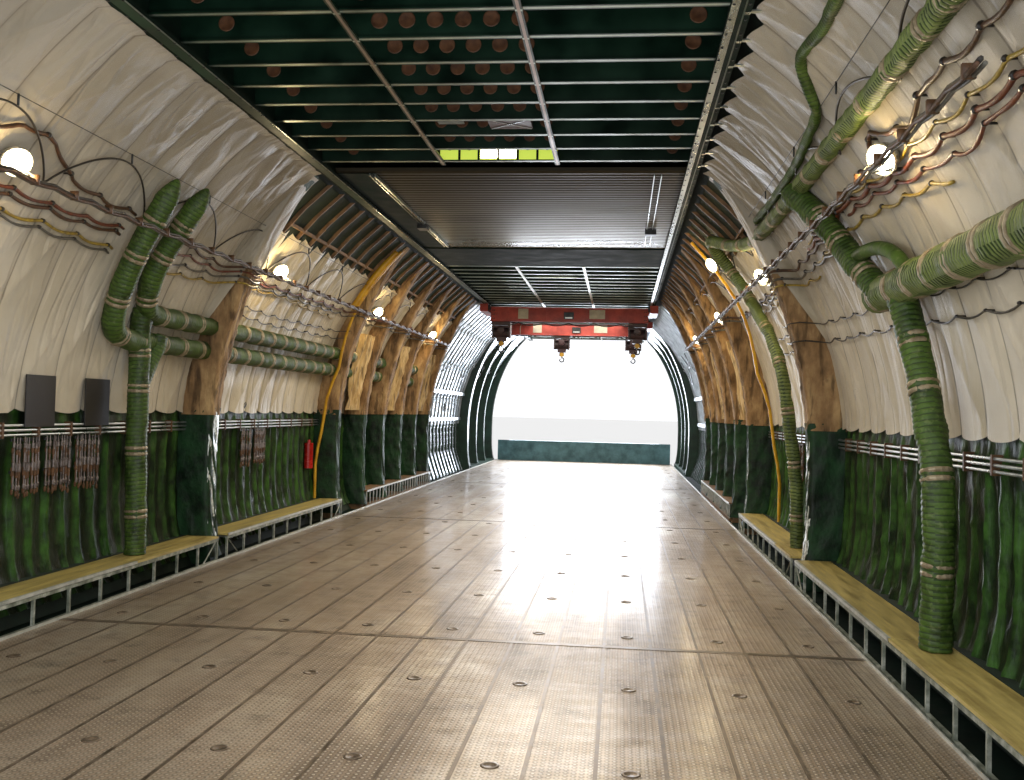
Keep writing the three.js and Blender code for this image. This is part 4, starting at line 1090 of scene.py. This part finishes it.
upper_ribs = boxes([(x - 0.006, x + 0.006, AFT + 0.02, NOSE - 0.02, -0.013, -0.0006)
                    for x in np.arange(-1.9, 1.95, 0.19)], WALL_TOP)
add_piece("upper_floor_ribs", [(upper_ribs, DARK_PRIMER)])
GRID_AT = np.arange(AFT + BAY / 2, -9.7, BAY)
disc = turned([(0.002, -0.001), (0.05, -0.001), (0.058, -0.004), (0.062, -0.001), (0.062, 0.0)], 16,
              (0, 1, 0))
disc_x = [-1.64, -0.49, -0.285, -0.08, 0.125, 0.33, 0.535, 1.79]
disc_at = [(x, y - 0.0085, CEILING + 0.135) for y in GRID_AT for x in disc_x]
add_piece("web_discs", [(repeated(disc, disc_at), COPPER)], smooth=True)

units = boxes([(-1.31, -1.17, -13.22, -13.12, 0.05, 0.15), (0.8, 0.93, -12.72, -12.62, 0.05, 0.15)], CEILING)
cross = joined([strut((a, -11.19, CEILING + 0.02), (b, -10.9, CEILING + 0.02), 0.008)
                for a, b in ((0.03, 0.41), (0.41, 0.03))])
case = boxes([(0.02, 0.42, -11.2, -10.88, 0.022, 0.11)], CEILING)
louvres = boxes([(-0.5, -0.25, y, y + 0.03, 0.09, 0.1) for y in -11.2 + 0.05 * np.arange(8)], CEILING)
add_piece("ceiling_units", [(units, BARE), (case, HOIST_DARK), (cross, BARE), (louvres, PALE_TUBE)])

glow = boxes([(-0.68, 0.58, -9.775, -9.76, 0.015, 0.16)], CEILING)
dividers = boxes([(x - 0.012, x + 0.012, -9.79, -9.774, 0.014, 0.17)
                  for x in (-0.47, -0.26, -0.05, 0.16, 0.37)], CEILING)
bright = boxes([(-0.24, 0.14, -9.783, -9.776, 0.03, 0.12)], CEILING)
arcs = repeated(turned([(0.05, -0.004), (0.052, 0.004)], 16, (0, 1, 0)),
                [(x, -9.781, CEILING + 0.165) for x in (-0.575, -0.365, -0.155, 0.055, 0.265, 0.475)])
parts = [(glow, HATCH_GLASS), (bright, TUBE_LIGHT), (dividers, DARK_PRIMER), (arcs, DARK_PRIMER)]
add_piece("hatch_light", parts)
tube = boxes([(-0.42, 0.3, -1.0, -0.94, 0.03, 0.07)], CEILING)
add_piece("ceiling_tube_light", [(tube, TUBE_LIGHT)])

channel = boxes([(-1.97, -1.52, FRAME_1 + 0.01, FRAME_2 + 0.07, -0.006, -0.002)], CEILING)
slides = boxes([(-1.545, -1.52, -9.24, -4.4, -0.045, -0.006), (-1.60, -1.585, -9.24, -4.4, -0.03, -0.006),
                (1.62, 1.63, -9.2, -4.7, -0.03, -0.008), (1.70, 1.71, -9.2, -4.7, -0.03, -0.008)], CEILING)
boxed = boxes([(-1.63, -1.5, -6.4, -6.2, -0.1, -0.03), (1.6, 1.76, -6.0, -5.85, -0.1, -0.02)], CEILING)
add_piece("ceiling_channel", [(channel, DARK_PRIMER), (slides, RAIL_METAL), (boxed, STEEL)])

for side_name, side in SIDES:
    y0, y1 = AFT + 0.02, NOSE - 0.02
    lip = boxes([(1.952, 1.964 if side < 0 else 2.005, y0, y1, -0.0035, -0.0002)], RAIL_UNDER)
    x0, x1 = (1.966, 2.06) if side < 0 else (2.04, 2.05)
    shade = boxes([(x0, x1, y0, y1, -0.0032, -0.0002)], RAIL_UNDER)
    studs = repeated(turned([(0.006, -0.006), (0.011, -0.003), (0.011, 0.0)], 6),
                     [(x, y, RAIL_UNDER - 0.0036) for x in (1.967, 2.068)
                      for y in np.arange(AFT + 0.1, NOSE, BAY / 2)])
    strips = [(lip, RAIL_METAL), (shade, PRIMER), (studs, STEEL)]
    if side > 0:
        ends = boxes([(x0, x1, y - 0.02, y + 0.02, z0, z1) for x0, x1, z0, z1 in
                      ((2.052, 2.088, -0.0032, -0.0002), (2.0915, 2.2, 0.004, 0.014)) for y in GRID_AT],
                     RAIL_UNDER)
        strips.append((ends, RAIL_METAL))
    add_piece(f"rail_wear_strip_{side_name}", strips, side)


# Bare nose walls: stringers between the ribs, and leads that hang along them

for side_name, side in SIDES:
    stringers = []
    for z in np.arange(DECK + 0.25, 5.0, 0.17):
        x = half_width(LINING, z)
        stringers.append((x - 0.022, x + 0.002, NOSE_BAY + 0.03, NOSE - 0.05, z - 0.012, z + 0.012))
    add_piece(f"nose_stringers_{side_name}", [(boxes(stringers), BARE)], side)
    leads = []
    for k in range(9):
        y = np.linspace(0, 1.3, 16)
        z = DECK + 3.2 - 0.5 * np.sin(np.pi * y / 1.3) * (0.5 + 0.1 * (k % 4)) + 0.12 * ((k * 7) % 5 - 2)
        path = np.stack([half_width(LINING, z) - 0.12, y + 4.3 + 1.2 * k, z], axis=1)
        leads.append(swept(path, ring(0.011, 6)))
    add_piece(f"nose_leads_{side_name}", [(joined(leads), BLACK)], side, smooth=True)


# Cranes

HOISTS = {1: (4.25, {"left": -1.68, "right": 1.68}), 2: (8.45, {"left": -0.42, "right": 1.63})}
BRIDGE_UNDER, BRIDGE_TOP = DECK + 3.98, DECK + 4.326
HOIST_UNDER = DECK + 3.5
HOOK_TOP = HOIST_UNDER - 0.006
PALE_CABLE = [(-1.62, 0.02), (-1.62, 0.2), (-1.6, 0.28), (-1.53, 0.32), (-1.45, 0.33)]
PALE_CABLE += [(-x, z) for x, z in reversed(PALE_CABLE)]
for number, (y, hoists) in HOISTS.items():
    flanges = boxes([(-1.93, 1.93, y - 0.275, y + 0.275, z, z + 0.014) for z in (BRIDGE_UNDER, BRIDGE_TOP)])
    plates = boxes([(0.5, 0.88, y - 0.2565, y - 0.252, 4.07, 4.29),
                    (-1.25, -1.0, y - 0.262, y - 0.252, 4.05, 4.3)], DECK)
    gussets = boxes([(x - 0.006, x + 0.006, y - 0.268, y - 0.25, BRIDGE_UNDER + 0.014, BRIDGE_TOP)
                     for x in (-1.75, -1.5, -0.55, 0.1, 1.1, 1.5, 1.75)])
    lamp_box = boxes([(-0.12, 0.12, y - 0.3, y - 0.25, 4.05, 4.22)], DECK)
    lens = boxes([(-0.09, 0.09, y - 0.305, y - 0.299, 4.065, 4.1)], DECK)
    trucks = boxes([(1.955, 2.155, at - 0.09, at + 0.09, 4.2, 4.37) for at in (y - 0.5, y + 0.5)], DECK)
    wheels = repeated(turned([(0.03, 0.0), (0.06, 0.003), (0.062, 0.03), (0.03, 0.033)], 14, (1, 0, 0)),
                      [(1.92, y + dy, DECK + 4.31) for dy in (-0.45, -0.3, 0.3, 0.45)])
    ends = [on_side(shape, side) for _, side in SIDES for shape in (trucks, wheels)]
    bolts = repeated(turned([(0.014, -0.007), (0.014, 0.0)], 6, (0, 1, 0)),
                     [(x, y - 0.252, z) for x in (-1.88, -1.84, 1.84, 1.88)
                      for z in (DECK + 4.05, DECK + 4.15, DECK + 4.25)])
    parts = [(flanges, CRANE_RED), (gussets, CRANE_RED), (plates, BLANK_PLATE), (lamp_box, STEEL),
             (lens, BARE), (joined(ends), STEEL), (bolts, STEEL)]
    add_piece(f"crane_details_{number}", parts, body=f"crane_{number}")
    x = np.linspace(-1.5, 1.6, 60)
    z = BRIDGE_UNDER - 0.03 - 0.07 * np.abs(np.sin(x * 5.1))
    swag = swept(np.stack([x, x * 0 + y - 0.3, z], axis=1), ring(0.012, 6))
    if number == 2:
        pale = swept([(x, y - 0.285, BRIDGE_UNDER + z) for x, z in PALE_CABLE], ring(0.012, 6), (0, 1, 0))
    else:
        pale = boxes([(-1.3, 1.55, y - 0.3, y - 0.285, -0.035, -0.02)], BRIDGE_UNDER)
    add_piece(f"crane_cable_{number}", [(swag, BLACK), (pale, PALE_TUBE)], body=f"crane_{number}",
              smooth=True)
    for side_name, x in hoists.items():
        name = f"{number}_{side_name}"
        hoist, hook = f"crane_{number}_hoist_{side_name}", f"crane_{number}_hook_{side_name}"
        drum = turned([(0.12, -0.19), (0.138, -0.185), (0.138, -0.165), (0.125, -0.16)]
                      + [(0.125 + 0.006 * (k % 2), -0.15 + 0.0125 * k) for k in range(25)]
                      + [(0.138, 0.165), (0.138, 0.185), (0.12, 0.19)],
                      18, (1, 0, 0), (x, y, HOIST_UNDER + 0.22))
        motor = turned([(0.03, 0.0), (0.085, 0.002), (0.09, 0.02), (0.09, 0.14), (0.05, 0.15)], 14,
                       (0, -1, 0), (x, y - 0.15, BRIDGE_UNDER - 0.2))
        box = boxes([(x - 0.2, x + 0.2, y - 0.175, y - 0.152, HOIST_UNDER + 0.33, BRIDGE_UNDER - 0.1),
                     (x - 0.12, x + 0.12, y + 0.15, y + 0.2, HOIST_UNDER + 0.1, HOIST_UNDER + 0.34)])
        add_piece(f"hoist_details_{name}", [(drum, STEEL), (motor, HOIST_DARK), (box, HOIST_DARK)],
                  body=hoist)
        falls = joined([swept([(x + dx, y, z) for z in np.linspace(HOOK_TOP - 0.02, HOOK_TOP + 0.03, 8)],
                              ring(0.006, 8), (1, 0, 0)) for dx in (-0.035, 0.035)])
        rope = add_piece(f"hoist_rope_{name}", [(falls, STEEL)], body=None, smooth=True)
        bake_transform(rope)
        sheave = turned([(0.03, -0.052), (0.062, -0.05), (0.052, -0.02), (0.052, 0.02), (0.062, 0.05),
                         (0.03, 0.052)], 16, (0, 1, 0), (x, y, HOOK_TOP - 0.05))
        latch = strut((x - 0.052, y, HOOK_TOP - 0.2), (x + 0.004, y, HOOK_TOP - 0.135), 0.012)
        add_piece(f"hook_details_{name}", [(sheave, YELLOW), (latch, STEEL)], body=hook)


# Outside: the small windows' rims and panes

WINDOWS = [("left", -7.6), ("right", -11.9), ("left", 7.3), ("right", 7.3)]
WINDOW_LEVEL = DECK + 1.9
SKIN_AT = float(half_width(SKIN, WINDOW_LEVEL))
INNER = float(half_width(LINING, WINDOW_LEVEL)) - SKIN_AT
for number, (side_name, y) in enumerate(WINDOWS):
    rim, faces = turned([(0.168, INNER - 0.02), (0.2, INNER - 0.018), (0.2, INNER - 0.004), (0.169, INNER),
                         (0.169, 0.0), (0.205, 0.002), (0.205, 0.012), (0.168, 0.016), (0.155, 0.008),
                         (0.155, INNER - 0.016)], 28, (1, 0, 0), (SKIN_AT, y, WINDOW_LEVEL))
    # Open inside: without its end caps and two faces of its last ring
    rim = (rim, faces[:-28])
    pane = turned([(0.01, -0.012), (0.16, -0.012), (0.16, -0.002), (0.01, -0.002)], 28, (1, 0, 0),
                  (SKIN_AT - 0.02, y, WINDOW_LEVEL))
    add_piece(f"window_{number + 1}", [(rim, SEAL), (pane, PANE)], dict(SIDES)[side_name])


# Finishes of the solids that show as they are

NODE_FINISH = {"wall_": HULL, "belly_": HULL, "crown": HULL, "deck_panel": DECK_METAL,
               "floor_frame": DARK_PRIMER, "crane_rail": DARK_PRIMER, "upper_floor": DARK_PRIMER,
               "ceiling_grid": BEAM, "ceiling_corrugated": CORRUGATED, "ceiling_box": DARK_PRIMER,
               "frame_1": GREEN_SLEEVE, "frame_2": TAN, "mid_frames": RIB_BROWN, "upper_ribs": RIB_BROWN,
               "nose_frames": NOSE_FRAME, "yellow_pipe": YELLOW, "extinguisher": RED, "nose_sill": TEAL,
               "bench_frame": BENCH, "seat_lid": PLANK, "crane_bridge": CRANE_RED, "hoist_": HOIST_DARK,
               "hook_": STEEL}
for name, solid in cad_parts.items():
    solid.data.materials.clear()
    found = [finish for start, finish in NODE_FINISH.items() if name.startswith(start)]
    solid.data.materials.append(found[0] if found else PRIMER)


# Stage, light and camera

def area_light(name, at, toward, size, power, colour="#ffffff"):
    """A soft box light that the camera doesn't see."""
    data = bpy.data.lights.new(name, "AREA")
    data.shape = "RECTANGLE"
    data.size, data.size_y = size
    data.energy, data.color = power, tint(colour)[:3]
    lamp = bpy.data.objects.new(name, data)
    lamp.location = at
    lamp.rotation_mode = "QUATERNION"
    lamp.rotation_quaternion = (Vector(toward) - Vector(at)).to_track_quat("-Z", "Y")
    lamp.visible_camera = False
    bpy.context.scene.collection.objects.link(lamp)


floor = bpy.data.meshes.new("stage_floor")
floor.from_pydata([(x, y, -0.004) for x, y in ((-400, -400), (400, -400), (400, 400), (-400, 400))], [],
                  [(0, 1, 2, 3)])
floor.materials.append(blank("stage_floor", Base_Color=tint("#dcdad6"), Roughness=0.9))
floor = bpy.data.objects.new("stage_floor", floor)
bpy.context.scene.collection.objects.link(floor)

world = bpy.data.worlds.new("studio")
bpy.context.scene.world = world
world.use_nodes = True
world.node_tree.nodes["Background"].inputs["Color"].default_value = tint("#f4f6fa")
world.node_tree.nodes["Background"].inputs["Strength"].default_value = 1.3
bpy.context.scene.view_settings.view_transform = "Standard"

area_light("nose_daylight", (0, 15.7, 3.1), (0, 0, 2.3), (5.4, 3.7), 950, "#e9f1ff")
area_light("aft_fill", (0.0, -15.9, 2.9), (0, -4, 2.6), (3.6, 2.4), 85, "#f4f6fa")
for y, power in ((-12.5, 38), (-6.8, 155), (-1.0, 235), (6.5, 135), (12.5, 50)):
    area_light(f"ceiling_fill_{y}", (0, y, 5.02), (0, y, 0), (2.6, 4.4), power, "#fff4e2")
for side_name, side in SIDES:
    for number, (x, y, z) in enumerate(LAMPS[side_name]):
        glow = bpy.data.lights.new(f"lamp_glow_{side_name}_{number}", "POINT")
        glow.energy, glow.color, glow.shadow_soft_size = (9 if y < -9 else 17), tint("#ffe0a4")[:3], 0.06
        lamp = bpy.data.objects.new(glow.name, glow)
        lamp.location = (side * (x - 0.12), y - 0.09, z - 0.09)
        bpy.context.scene.collection.objects.link(lamp)

# The camera stands aft of the section, right of its middle, 1.77 m above the deck
YAW, PITCH, ROLL = (math.radians(a) for a in (6.297, 1.572, 1.451))
ahead = np.array([-math.sin(YAW) * math.cos(PITCH), math.cos(YAW) * math.cos(PITCH), math.sin(PITCH)])
level = np.array([math.cos(YAW), math.sin(YAW), 0])
above = np.cross(level, ahead)
right = math.cos(ROLL) * level + math.sin(ROLL) * above
up = math.cos(ROLL) * above - math.sin(ROLL) * level
view = bpy.data.cameras.new("camera")
view.lens, view.sensor_width, view.shift_y = 34.8, 36.0, -0.0059
view.clip_start, view.clip_end = 0.05, 1500
camera = bpy.data.objects.new("camera", view)
position = [[1.31], [-20.2], [DECK + 1.77]]
camera.matrix_world = Matrix(np.block([[np.stack([right, up, -ahead], axis=1), np.array(position)],
                                       [np.zeros((1, 3)), 1]]).tolist())
bpy.context.scene.collection.objects.link(camera)
bpy.context.scene.camera = camera
